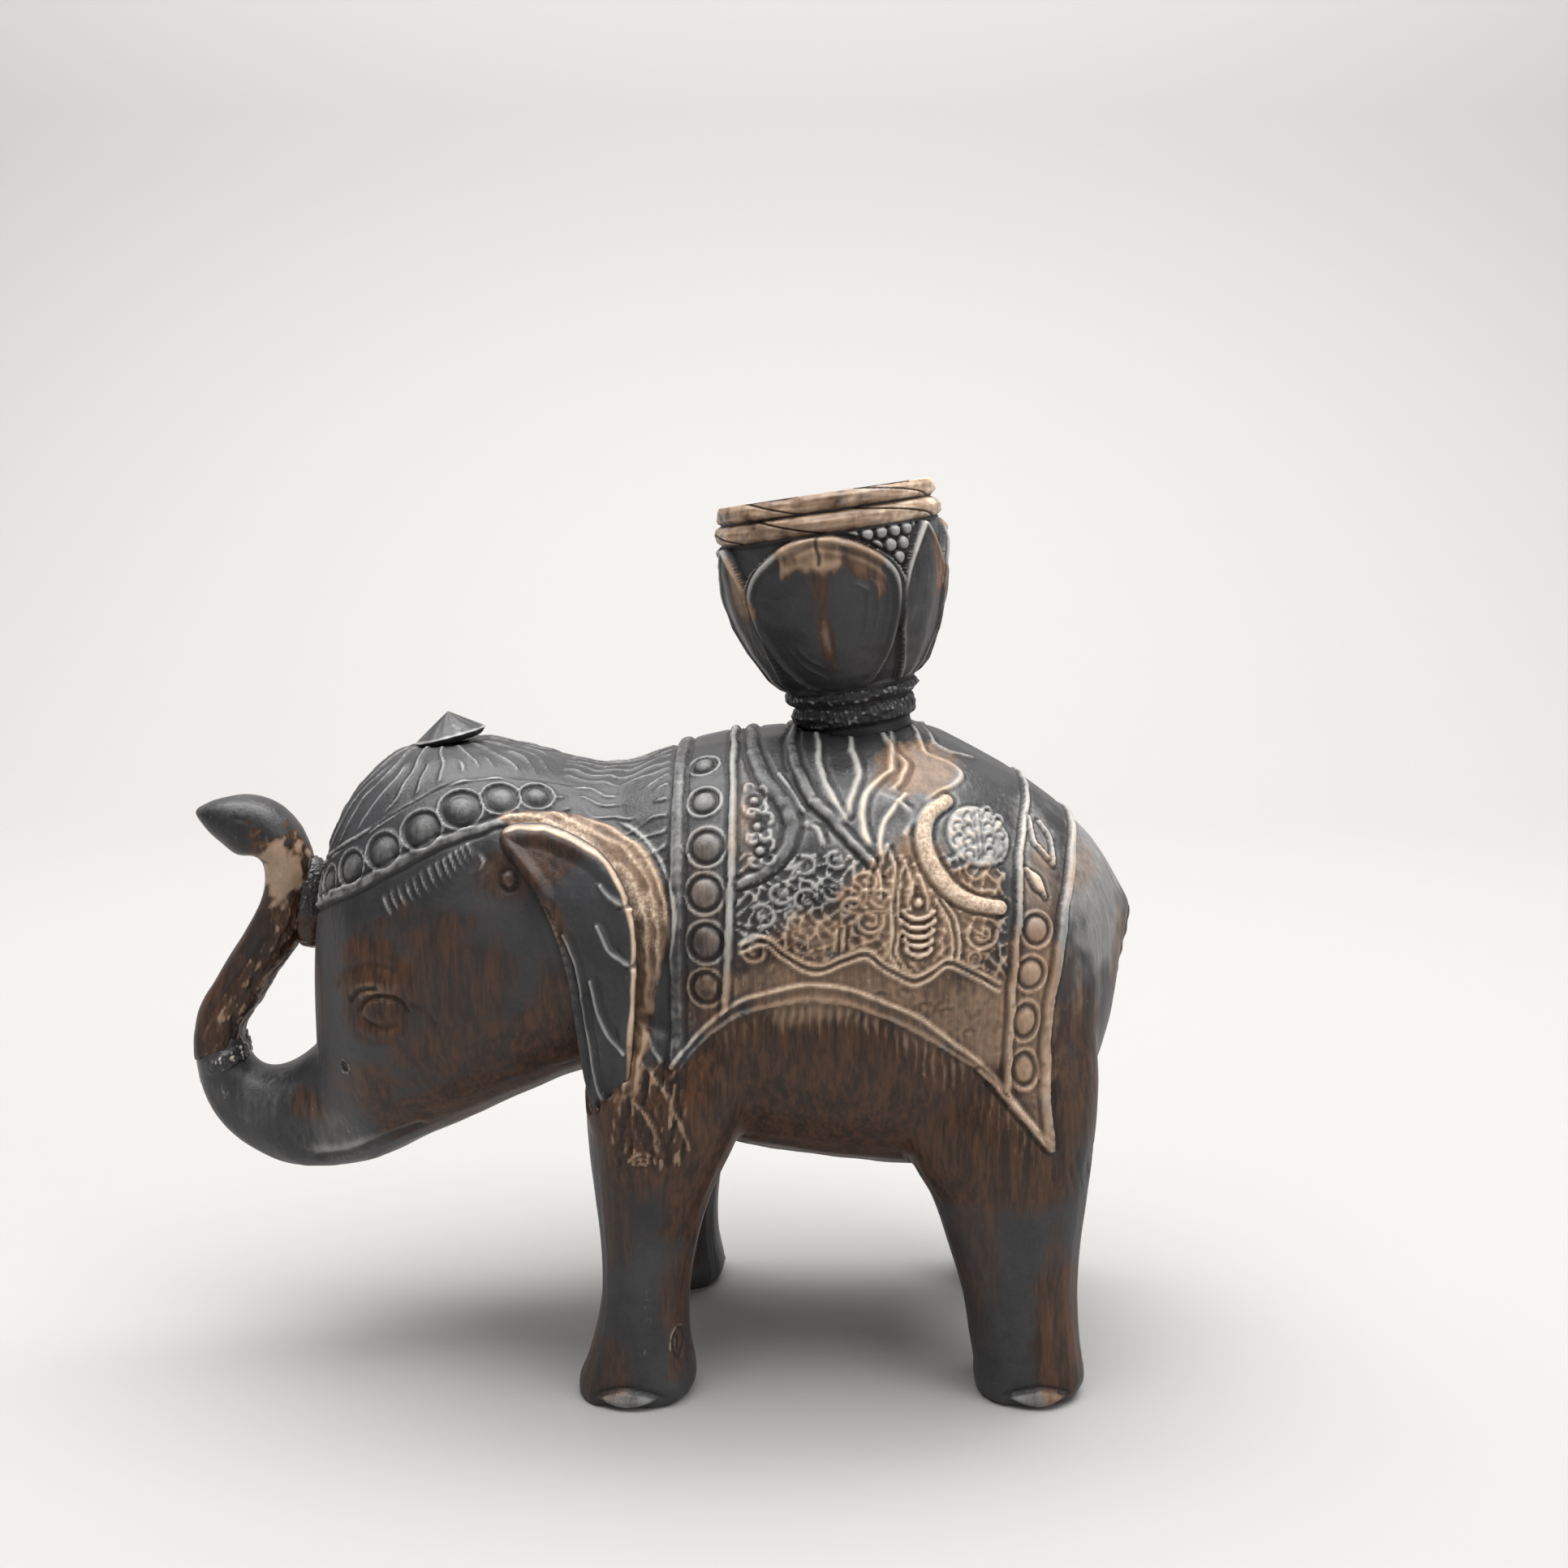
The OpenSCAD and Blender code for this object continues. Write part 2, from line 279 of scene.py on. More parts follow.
class Relief(Masks):
    """The carving on one softened piece, worked out from |y| so that both sides match."""

    def __init__(self, obj):
        self.obj = obj
        self.co = points_of(obj.data)
        self.n = normals_of(obj.data)
        super().__init__(len(self.co))
        self.x, self.z = self.co[:, 0], self.co[:, 2]
        self.y = np.abs(self.co[:, 1])
        self.side = np.where(self.co[:, 1] > 0, 1.0, -1.0)
        self.own_side = -1.0 if (self.side < 0).any() else 1.0
        self.half = np.stack([self.x, self.y, self.z], 1)
        self.inside = None
        self.flank = None
        self.back = None

    def on_flank(self, points):
        """Adds the |y| of this piece's own flank to (x, z) points."""
        if self.flank is None:
            outward = self.n[:, 1] * self.side > 0.15
            use = np.nonzero(outward & (self.side == self.own_side))[0][::3]
            self.flank = tree_of(self.half * (1, 0, 1), use)
        out = []
        for x, z in points:
            best = self.flank.find_n((x, 0, z), 3)
            out.append((x, np.mean([self.y[i] for _, i, _ in best]), z))
        return np.array(out)

    def line(self, points, parts=6, spine=None):
        """A smooth, slightly unsteady line on the surface, through (x, z) or (x, |y|, z) points.

        spine carries the line on from its first point up to that x at the middle of the back."""
        curve = spline(points, parts)
        if curve.shape[1] == 2:
            curve = self.on_flank(curve)
        if spine is not None:
            curve = np.vstack([self.on_back(curve[0], spine), curve])
        shake = waves(curve, 9, len(curve), 2)
        curve[:, 0] += 0.22 * shake
        curve[:, 2] += 0.18 * shake[::-1]
        return curve

    def on_back(self, start, x):
        """Points on the back from near the spine at x to start."""
        if self.back is None:
            use = np.nonzero((self.n[:, 2] > 0.3) & (self.side < 0) & (self.z > 90))[0][::3]
            self.back = tree_of(self.half * (1, 1, 0), use)
        out = []
        for t in np.arange(0, 1, 0.2):
            spot = (x + (start[0] - x) * t, 1 + (start[1] - 1) * t)
            best = self.back.find_n((*spot, 0), 3)
            out.append((*spot, np.mean([self.z[i] for _, i, _ in best])))
        return np.array(out)

    def near(self, curve, reach):
        """The points within reach of a line, their distances from it and how far along it they are."""
        low, high = curve.min(0) - reach, curve.max(0) + reach
        use = np.nonzero(np.all((self.half > low) & (self.half < high), 1))[0]
        best, far = from_line(self.half[use], curve)
        inside = best < reach
        return use[inside], best[inside], far[inside]

    def cord(self, points, half, top=0.0, rise=0.7, edge=0.35, worn=0.5, taper=0.0, parts=6, spine=None):
        """A rounded raised line with a crisp groove along both edges."""
        curve = self.line(points, parts, spine)
        length = np.linalg.norm(np.diff(curve, axis=0), axis=1).sum()
        use, d, run = self.near(curve, half + 1.6)
        ends = np.minimum(run, length - run)
        size = half * (1 - taper * (1 - step(ends, 0, length * 0.45)))
        self.h[use] -= 0.75 * edge * bell(d - size - 0.3, 0.42)
        self.soil_and_shade(0.6 * bell(d - size - 0.35, 0.4), use)
        crown = dome(d, size)
        on = crown > 0
        spot = use[on]
        uneven = 0.09 * (1 + np.sin(run[on] * 1.1 + 2 * np.sin(run[on] * 0.37)))
        lifted = top - rise * (1 - crown[on]) - uneven
        self.h[spot] = np.maximum(self.h[spot], lifted)
        self.wear_and_light(worn * crown[on], spot)
        self.sunk[spot] *= 1 - crown[on]

    def groove(self, points, half=0.35, depth=0.5, parts=6, dirt_and_shade=1.0, spine=None):
        """A cut, darkened inside with grime and painted shade."""
        use, d, _ = self.near(self.line(points, parts, spine), half * 3)
        cut = bell(d, half)
        self.h[use] -= depth * cut
        self.soil_and_shade(dirt_and_shade * cut, use)

    def scratch(self, points, half=0.3, lift=0.35, parts=6, worn=0.6, spine=None):
        """A thin raised line, as a burr beside a cut."""
        use, d, _ = self.near(self.line(points, parts, spine), half * 3)
        rise = bell(d, half)
        self.h[use] += lift * rise
        self.wear_and_light(worn * rise, use)

    def fold(self, points, half=0.9, worn=0.4, spine=None, shift=1.2):
        """A soft strand of a carved flame, with a dark cut along its rear side."""
        points = np.array(points, float)
        beside = points.copy()
        beside[:, 0] += shift
        self.groove(beside, 0.42, 0.5, 6, 0.55, spine)
        self.scratch(points, half, 0.5, 6, worn, spine)

    def boss(self, point, radius, top=0.0, tall=1.2, long=1.0, ring=True, worn=0.4):
        """A round button in a ring. long stretches it along Z."""
        spot = self.on_flank([point])[0] if len(point) == 2 else np.array(point, float)
        use = np.nonzero(np.linalg.norm(self.half - spot, axis=1) < radius * 2.2 * long)[0]
        gap = self.half[use] - spot
        gap[:, 2] /= long
        d = np.linalg.norm(gap, axis=1)
        self.h[use] -= 0.45 * bell(d - radius - 0.35, 0.45)
        self.soil_and_shade(0.6 * bell(d - radius - 0.3, 0.4), use)
        if ring:
            rim = bell(d - radius - 1.0, 0.36)
            self.h[use] += 0.42 * rim
            self.wear_and_light((0.2 + 0.6 * worn) * rim, use)
        crown = dome(d, radius)
        on = crown > 0
        self.h[use[on]] = np.maximum(self.h[use[on]], top - tall * (1 - crown[on]))
        self.wear_and_light(worn * crown[on], use[on])
        self.sunk[use[on]] *= 1 - crown[on]

    def spiral(self, point, radius, turns=1.5, turn=0.0, worn=0.5, lift=0.45):
        """A raised line that winds in to a point."""
        angle = np.linspace(0, 2 * math.pi * turns, int(10 * turns) + 2)
        r = radius * (1 - 0.8 * angle / angle[-1])
        x, z = point
        self.scratch(np.stack([x + r * np.cos(angle + turn), z + r * np.sin(angle + turn)], 1),
                     0.38, lift, 2, worn)

    def finish(self, floor=False):
        """Moves the points along the normals and writes the masks. floor makes the soles flat."""
        co = self.co + self.n * self.h[:, None]
        if floor:
            co[:, 2] = np.where(co[:, 2] < SOLE_HIGH, 0, co[:, 2])
        put_points(self.obj.data, co)
        self.write(self.obj.data, co)
        return self.obj


# ---- The carved block ----

# Lines of the saddle cloth as (x, z) on the flank. The borders run over the back.
FRONT_CORD = [(6.0, 70), (6.0, 140)]
FRONT_THIN = [(15.4, 84), (16.2, 93), (16.9, 108), (17.0, 123), (16.8, 140)]
REAR_THIN = [(71.6, 70), (72.0, 90), (73.4, 104), (74.2, 115), (78.0, 126), (81, 134)]
REAR_CORD = [(80.3, 58), (79.3, 68), (79.8, 84), (81.6, 93), (83.6, 104), (86.8, 115), (89.5, 122)]
HEM = [(5.0, 73.5), (10.5, 80.2), (17.3, 86.5), (24, 89.4), (32.8, 91), (40.2, 90.2), (47, 87.6),
       (53.6, 84.3), (59.7, 79.8), (66, 74.4), (72.2, 67.6), (80.4, 57.6)]
HEM_STRIP = [(4, 2.4), (20, 3.4), (54, 3.6), (68, 1.9), (82, 1.7)]
WAVY = [(19, 98), (23.5, 99.6), (27, 97), (31, 94.6), (35, 94.2), (39, 96), (43.2, 97.2), (47.5, 94.2),
        (52, 92), (56, 93.2), (59.2, 95.4), (64, 93.2), (69.5, 90.2)]
# How deep the cloth's ground, the body beside it and the body far from it lie under the CAD surface.
CLOTH_DROP = 0.85
SKIN_DROP = 1.35
PLAIN_DROP = 0.3


def across(r, points):
    """Distance along the surface from a border line, measured across it."""
    slope = np.sqrt(np.clip(1 - r.n[:, 0] ** 2, 0.3, 1))
    return (r.x - along([(z, x) for x, z in points], r.z)) / slope


def band(r, gap, half, top=0.0, rise=0.8, where=1.0, worn=0.5):
    """A rounded cord where |gap| < half, with grooves along it."""
    d = np.abs(gap + 0.18 * waves(r.co, 12, 51, 2))
    groove = bell(d - half - 0.35, 0.42) * where
    r.h -= 0.3 * groove
    r.soil_and_shade(0.5 * groove)
    crown = dome(d, half)
    on = (crown > 0) & (where > 0.5)
    uneven = 0.1 * (1 + waves(r.co[on], 7, 52, 2))
    r.h[on] = np.maximum(r.h[on], top - rise * (1 - crown[on]) - uneven)
    r.wear_and_light(worn * crown[on], on)
    r.sunk[on] *= 1 - crown[on]


def cloth_ground(r):
    """Sinks the cloth's ground, and the bare body around it a little more."""
    hem_z = along(HEM, r.x)
    front = across(r, FRONT_CORD)
    rear = across(r, REAR_CORD)
    strip = along(HEM_STRIP, r.x)
    inside = (front > -1.5) & (rear < 1.4) & (r.z > hem_z - strip)
    lower = np.maximum(hem_z - strip - r.z, 0) / np.clip(np.abs(r.n[:, 1]), 0.5, 1)
    away = np.maximum.reduce([-front - 1.5, rear - 1.4, lower])
    skin = -PLAIN_DROP - (SKIN_DROP - PLAIN_DROP) * np.exp(-np.clip(away, 0, None) / 9)
    skin = -PLAIN_DROP + (skin + PLAIN_DROP) * step(r.x, -16, -12)
    r.h = np.where(inside, -CLOTH_DROP, skin)
    r.inside = inside
    return hem_z, front, rear


def saddle_borders(r, hem_z, front, rear):
    """The upright borders with their buttons, and the hem."""
    above = step(r.z, hem_z - 1, hem_z + 0.5)
    band(r, front, 1.45, where=above, worn=0.2)
    thin = across(r, FRONT_THIN)
    band(r, thin, 0.8, rise=0.6, where=above, worn=0.35)
    band(r, across(r, REAR_THIN), 0.8, rise=0.6, where=above, worn=0.4)
    band(r, rear, 1.25, where=step(r.z, hem_z - 3, hem_z - 1), worn=0.45)
    for x, z, size in ((10.9, 131.1, 2.2), (11.3, 125.1, 2.5), (12, 117, 3), (11.7, 108.3, 3),
                       (12, 98.8, 3.1), (11.9, 89.7, 2.7)):
        r.boss((x, z), size, -0.05, 1.3, 1.05, worn=0.15)
    for x, z, size, long in ((77.2, 100.7, 2.6, 1.0), (76, 92.2, 2.6, 1.0), (75.1, 82.6, 2.3, 1.3),
                             (74.9, 72.7, 2.0, 1.35)):
        r.boss((x, z), size, -0.1, 1.2, long, worn=0.5)
    r.scratch(HEM, 0.42, 0.7, worn=0.85)
    lip = [(x, z - along(HEM_STRIP, x) + 0.7) for x, z in HEM]
    r.scratch(lip, 0.7, 0.35, worn=0.12)
    r.cord([point for point in lip if point[0] > 64], 0.85, 0.0, 0.6, 0.3, 0.6, taper=0.3)
    for shift in (-0.8, 0.8):
        r.scratch([(x, z + shift) for x, z in WAVY], 0.4, 0.62, worn=0.8)
    r.groove(WAVY, 0.35, 0.3, dirt_and_shade=0.5)
    leaf = [(75.4, 112.6), (77.4, 109.8), (79.6, 106.6)]
    r.cord(leaf, 1.3, 0.0, 0.9, 0.6, 1.0, taper=0.8)
    r.cord([(77, 121), (77.8, 117), (80.5, 113.5)], 0.5, -0.2, 0.4, 0.3, 0.5)
    r.cord([(79.4, 120), (81.6, 116), (81.4, 112)], 0.5, -0.2, 0.4, 0.3, 0.4)


# Strands of the flames below the cup's foot: half width, wear, the x where one leaves the spine, points.
FLAMES = [
    (0.8, 0.45, 34, [(34.2, 18.2, 134.3), (34.2, 21.8, 132.2), (35.3, 26.1, 129.3), (36.9, 29.3, 126.3),
                     (38.8, 32.6, 122.3)]),
    (0.8, 0.5, 41, [(41, 18.9, 134.4), (41.9, 22.5, 132.3), (42, 26.2, 129.6), (40.7, 29.5, 126.4),
                    (39.2, 32.6, 122.3)]),
    (0.8, 0.7, 50, [(48.7, 24.6, 131.1), (45.9, 26.8, 129.1), (43.5, 29.2, 126.9), (42.7, 31.8, 123.8),
                    (43, 33.8, 120.8), (43.7, 35.3, 118.5)]),
    (0.8, 0.5, 46, [(48, 15.3, 136), (49.5, 19.5, 134.2), (51.5, 22.5, 132.3), (50.6, 26.5, 129.4),
                    (49.1, 28.1, 127.8)]),
    (0.8, 0.5, 54, [(55.2, 14.2, 135.8), (55.8, 18.6, 134.1), (58.4, 19.2, 132.8), (61.6, 19.6, 131.5),
                    (63.3, 20.8, 129.9), (61.2, 25.1, 128.2), (58, 27.5, 126.9), (55.8, 30.2, 124.8),
                    (53, 32.7, 122)]),
    (0.7, 0.4, 57, [(58.3, 13.4, 135.1), (61.8, 14.8, 133.5), (66.3, 12.4, 131.9)]),
    (0.6, 0.6, None, [(46.8, 29.5, 127.6), (49.6, 30.3, 126.2), (52.4, 31.4, 122.8), (51, 34, 119.8)]),
    (0.6, 0.3, None, [(31, 33, 121.6), (33.4, 33.2, 121), (34.6, 35.2, 118.1)]),
    (0.6, 0.3, None, [(26, 24, 130.4), (28.6, 28, 127.4), (31, 31, 124)])]
LONE_FLAME = [(51.3, 29, 126.8), (48.6, 31.5, 124.1), (46.8, 33.3, 121.5), (46.1, 35.1, 118.7),
              (46.1, 36.4, 116.1)]
CURLED_STEM = [(20.6, 135), (21.8, 132), (24, 128.6), (27.2, 125.4), (28.7, 121.8), (28.4, 118.6),
               (26.4, 115.2), (23.2, 112.4), (18.9, 110.4)]
LONG_STEM = [(28.6, 135.5), (29.8, 131.5), (32.4, 126.8), (36.6, 122.6), (40.8, 118.4), (44.6, 114.4)]
HOOK = [(59.7, 28.4, 125.5), (57, 30.6, 124.2), (55, 32.4, 122.2), (54.5, 34.5, 119.1), (55.4, 36, 115.6),
        (57.2, 37.1, 112.4), (60.2, 38.2, 108.8), (64.4, 38, 106.6), (69.6, 36.8, 105.6)]


def tendrils(r):
    """The thick stems and the flames that hang from the cup's foot, and the bare hook beside the disc."""
    for line, half, spine in ((CURLED_STEM, 1.9, 20), (LONG_STEM, 1.5, 30)):
        r.cord(line, half, -0.1, 1.1, 0.5, 0.12, taper=0.4, spine=spine)
        use, d, _ = r.near(r.line(line, spine=spine), half + 1)
        # Painted shade: the thick stems are kept free of the painted sheen.
        r.shadow(1 - step(d, half * 0.6, half + 1), use)
    for half, worn, spine, line in FLAMES:
        r.fold(line, half, worn, spine)
    r.scratch(LONE_FLAME, 0.5, 0.6, worn=0.85)
    r.cord(HOOK, 2.0, 0.15, 1.3, 0.6, 1.0, taper=0.2)
    use, d, _ = r.near(r.line(HOOK), 1.8)
    r.strip(0.75 * (1 - step(d, 1.0, 1.8)), use)


def curl(r, x, z, size, turn, worn=0.6):
    """A curled leaf: an open hook with one or two ribs that follow it. turn is in half turns."""
    r.scratch(arc(x, z, size, 0.85 * size, turn, turn + 1.25, 9), 0.4, 0.55, 2, worn)
    r.groove(arc(x, z, size - 0.75, 0.85 * size - 0.7, turn, turn + 1.2, 8), 0.34, 0.3, 2, 0.45)
    r.scratch(arc(x + 0.2, z + 0.1, 0.42 * size, 0.4 * size, turn + 0.3, turn + 1.7, 6), 0.36, 0.45, 2, worn)
    tail = arc(x, z, size, 0.85 * size, turn, turn + 0.1, 2)[0]
    r.scratch([tail, tail + (0.9 * math.cos(turn * 3), -0.9), tail + (1.9 * math.cos(turn * 3), -1.1)],
              0.34, 0.45, 3, worn)


# Curled leaves as (x, z, size, turn) on the flank.
CURLS = [(44.1, 103.6, 2.6, 0.9), (46, 107.8, 1.9, 0.3), (66, 100.6, 3.2, 0.8), (43.2, 111, 1.9, 1.4),
         (31.6, 107.6, 2.2, 0.1), (36.8, 109.4, 2.1, 1.0), (26.8, 108.6, 2.0, 0.6), (23, 104.4, 2.3, 1.5),
         (40.4, 106.6, 1.6, 0.2), (64.6, 95.9, 1.7, 0.4), (31.2, 114, 1.9, 1.3), (37.4, 115, 1.7, 0.5)]
VASE_X = 53.3
POST = [(49.9, 110.8), (49.4, 106), (49.8, 101.1), (49.1, 97.5), (50.7, 94.6)]
RAIL = [(57.1, 107.5), (59.3, 103.7), (60, 99.5), (60, 96.4)]


def rosettes(r):
    """Three small flowers in the hollow of the curled stem, each with four petals."""
    for x, z, size in ((21.3, 125.6, 1.9), (22.0, 121.0, 2.2), (22.6, 116.6, 2.3)):
        r.boss((x, z), 0.9, -0.3, 0.4, ring=False, worn=0.3)
        for k in range(4):
            r.scratch(arc(x + size * math.cos(k * 1.3 - 2), z + size * math.sin(k * 1.3 - 2), 1.1, 1.1,
                          0.41 * k - 1.15, 0.41 * k - 0.15, 5), 0.34, 0.5, 2, 0.45)


def vase(r):
    """A ribbed vase with a knob and two stems, between a post and a rail."""
    for k in range(5):
        r.cord(arc(VASE_X, 105.6 - 1.8 * k, 3.3 - 0.3 * abs(k - 1), 1.5, 1.05, 1.95), 0.55, -0.05, 0.5, 0.35,
               0.85, parts=2)
    r.boss((VASE_X, 107), 1.0, 0, 0.6, ring=False, worn=0.7)
    for side in (-1, 1):
        stem = ((1.7, 105.6), (1.9, 107.6), (1.2, 109.8), (0.3, 112))
        r.scratch([(VASE_X + out * side, z) for out, z in stem], 0.4, 0.6, worn=0.7)
    for line, gap in ((POST, -1.4), (POST, 0), (RAIL, 0), (RAIL, 1.4)):
        r.fold([(x + gap, z) for x, z in line], 0.42, 0.7, shift=0.7)


def basket(r):
    """Three bowed ribs and two upright staves."""
    for x in (37.5, 38.9):
        r.fold([(x, 102.1), (x - 0.2, 98)], 0.4, 0.7, shift=0.7)
    for k, z in enumerate((103.4, 100.9, 98.4)):
        r.fold(arc(33.2, z, 4.2 - 0.3 * k, 1.4, 1.05, 1.95), 0.42, 0.7, shift=0.3)


def saddle_figures(r):
    """Tendrils, rosettes, a vase, a basket, pointed leaves and curled leaves inside the borders."""
    tendrils(r)
    rosettes(r)
    for x, z, size, turn in CURLS:
        curl(r, x, z, size, turn, 0.5 if x > 40 else 0.3)
    r.spiral((21.6, 97.6), 3.4, 1.6, 0.6, 0.55)
    vase(r)
    basket(r)
    for x, high in ((47.6, 117.6), (50.9, 114.6), (44.9, 115)):
        r.fold([(x - 1.7, high - 7), (x - 1.4, high - 3.6), (x, high)], 0.4, 0.65, shift=0.6)
        r.fold([(x, high), (x + 1.2, high - 3.6), (x + 1.1, high - 7)], 0.4, 0.65, shift=0.6)
    for k in range(5):
        nick = arc(46 + 4.4 * k, 88.6 - 0.5 * k * k + 1.2 * (k % 2), 1.2, 0.9, 0.2, 1.2, 5)
        r.groove(nick, 0.35, 0.3, 2, 0.35)
    scroll_disc(r, 65.9, 119, 6.9)


def scroll_disc(r, x, z, radius):
    """A round field, lightened apart from its lowest edge, partly rubbed and partly a painted reflection, cut
    with a stem and small curling leaves on both sides of it.
    """
    spot = r.on_flank([(x, z)])[0]
    d = np.linalg.norm(r.half - spot, axis=1)
    field = 1 - step(d, radius - 0.5, radius + 0.2)
    lumps = waves(r.co, 2.6, 31, 2)
    r.h = r.h * (1 - field) + (0.16 * lumps - 0.62) * field
    r.sunk *= 1 - field
    # Partly rubbed, partly a painted reflection.
    r.worn = np.maximum(r.worn * (1 - 0.6 * field), field * (0.5 + 0.15 * lumps) * step(r.z, 111, 115))
    for side in (-1, 1):
        stem = [(x + 0.5 * side, z + 4), (x + 0.6 * side, z), (x + 0.3 * side, z - 4.5)]
        r.groove(stem, 0.28, 0.35, 6, 0.6)
        for k in range(4):
            for out in (2.1, 4.2):
                high = z + 2.6 - 2.2 * k + 0.3 * out
                if math.hypot(out, high - z) < radius - 2.2:
                    leaf = arc(x + side * out, high, 1.0, 0.95, 0.5 - 0.8 * side, 0.5 + 0.6 * side, 6)
                    r.groove(leaf, 0.28, 0.4, 2, 0.8)
                    r.scratch(leaf + (0, 0.6), 0.3, 0.25, 2, 0.65)
    rim = bell(d - radius - 0.1, 0.35)
    r.h -= 0.2 * rim
    r.soil_and_shade(rim * 0.35)


def squiggles(r):
    """Small worm-like cuts that fill the cloth between the figures."""
    low = along(WAVY, r.x)
    zone = r.inside & (r.x > 18) & (r.x < 71) & (r.z > low + 1) & (r.z < 116)
    flat = step(-r.h, CLOTH_DROP - 0.12, CLOTH_DROP - 0.02) * (r.h > -CLOTH_DROP - 0.25) * zone
    bent = 1.2 * waves(r.co, 7, 55, 2)
    field = np.sin(r.x * 1.75 + 1.7 * np.sin(r.z * 0.8) + bent) \
        + np.sin(r.z * 1.6 + 1.6 * np.sin(r.x * 0.7 + 1) + bent)
    thread = bell(np.abs(field), 0.34)
    hollow = step(np.abs(field), 0.6, 1.3)
    r.h += flat * (0.4 * thread - 0.12 * hollow)
    r.wear_and_light(flat * thread * 0.5)
    r.soil_and_shade(flat * hollow * 0.38)
    grain_cut = waves(r.co * (1, 1, 0.6), 2.6, 59, 2)
    band_zone = r.inside & (r.z < low - 1)
    r.h -= band_zone * 0.12 * np.abs(grain_cut)
    r.soil_and_shade(band_zone * step(-grain_cut, 0.45, 0.9) * 0.4)


def neck_strands(r, front):
    """Wavy strands along the neck, from the head band to the front border."""
    zone = within(front, -30, -24, -3.2, -2.0) * step(r.z, 112, 116) * step(r.x, -26, -16)
    girth = np.arctan2(r.y, r.z - 92) * 36
    bend = 1.3 * np.sin(r.x * 0.33) + 0.5 * np.sin(r.x * 0.8 + girth * 0.3) + 0.5 * waves(r.co, 10, 57, 2)
    strand = threads((girth + bend) / 3.3, 3.3, 0.4) * step(waves(r.co, 16, 60, 2), -0.9, -0.2)
    r.h += zone * 0.42 * strand
    r.wear_and_light(zone * strand * 0.28)


# ---- Head ----

BAND_LOW = [(-76.0, 0, 95.8), (-74.6, 5, 97), (-69.6, 15.4, 101.4), (-60, 25.4, 106.6), (-51, 28, 111.7),
            (-42.8, 28.5, 116), (-33.5, 27.2, 119.2), (-25.5, 24.9, 121.2), (-17, 22.9, 121.2)]
BAND_HIGH = [(-70.6, 0, 107.6), (-69.8, 8, 109), (-65, 17, 112.3), (-57, 22.2, 117.5), (-48.6, 22.6, 123),
             (-39.6, 20.4, 127.5), (-33, 18.6, 128.6), (-25, 16.6, 127.8), (-16, 15.2, 126.2)]
BAND_BOSSES = [(-72.6, 6.4, 101.8, 2.2), (-69.6, 13, 104, 2.4), (-66, 18.7, 106.8, 2.5),
               (-60.3, 23.6, 110.7, 2.9), (-53, 26.1, 114.6, 3.1), (-45, 26.5, 119, 3.4),
               (-37.3, 24.6, 123, 3.6), (-29.6, 22.2, 124.8, 3.0), (-22.6, 20, 124.8, 2.5)]
# The foot of the cap on the crown.
CAP = np.array([-43.4, 0, 132.9])
CROWN_STRANDS = 16


def head_band(r):
    """The band round the head: two cords, a row of buttons, a fringe of ticks and a folded knob."""
    r.cord(BAND_LOW, 1.3, 0.35, 0.9, 0.5, 0.35, taper=0.2)
    r.scratch([(x, y, z + 1.2) for x, y, z in BAND_LOW[1:]], 0.32, 0.45, worn=0.7)
    for shift in (-0.6, 0.6):
        r.scratch([(x, y, z + shift) for x, y, z in BAND_HIGH], 0.36, 0.6, worn=0.75)
    r.groove(BAND_HIGH, 0.3, 0.3)
    for x, y, z, size in BAND_BOSSES:
        r.boss((x, y, z), size, 0.3, 1.5, 1.0, worn=0.3)
    curve = spline([(-51.5, 29.5, 104.2), (-45, 30.3, 107.9), (-39, 30.4, 111.2), (-34.4, 29.4, 114)], 4)
    for k, (x, y, z) in enumerate(curve):
        size = 1.5 + 0.9 * k / len(curve)
        tick = [(x - 0.5 * size, y - 0.6, z + size), (x - 0.1, y + 0.2, z),
                (x + 0.5 * size, y + 0.5, z - size)]
        r.scratch(tick, 0.46, 0.8, 2, 0.42)
        r.groove([(a + 0.8, b, c - 0.2) for a, b, c in tick], 0.34, 0.35, 2, 0.5)
    r.fold([(-34.6, 30.6, 110.6), (-33, 30.6, 111.2), (-32.2, 30, 113.4), (-33.8, 29, 115)], 0.5, 0.6)


def crown_strands(r):
    """Thin curved strands that fan down from the cap to the head band."""
    gap = r.co - CAP
    reach = np.hypot(gap[:, 0], r.y)
    angle = np.arctan2(r.y, -gap[:, 0])
    edge = along([(a, b) for a, b in ((-80, 106), (-65, 112), (-57, 117.5), (-48.6, 123), (-39.6, 127.5),
                                      (-33, 128.5), (-16, 126))], r.x)
    above = step(r.z, edge + 0.8, edge + 2.2)
    zone = above * step(reach, 6.5, 9) * (1 - step(r.x, -24, -18)) * (r.z > 100)
    count = angle * CROWN_STRANDS / (2 * math.pi) + 0.22 * np.sin(reach * 0.28) + 0.1 * waves(r.co, 14, 58, 2)
    pitch = 2 * math.pi * reach / CROWN_STRANDS
    thread = threads(count, pitch, 0.4) + threads(count + 0.5, pitch, 0.4) * step(reach, 13, 17)
    thread *= 0.8 + 0.2 * waves(r.co, 8, 67, 2)
    r.h += zone * 0.52 * np.minimum(thread, 1)
    r.wear_and_light(zone * thread * 0.36)


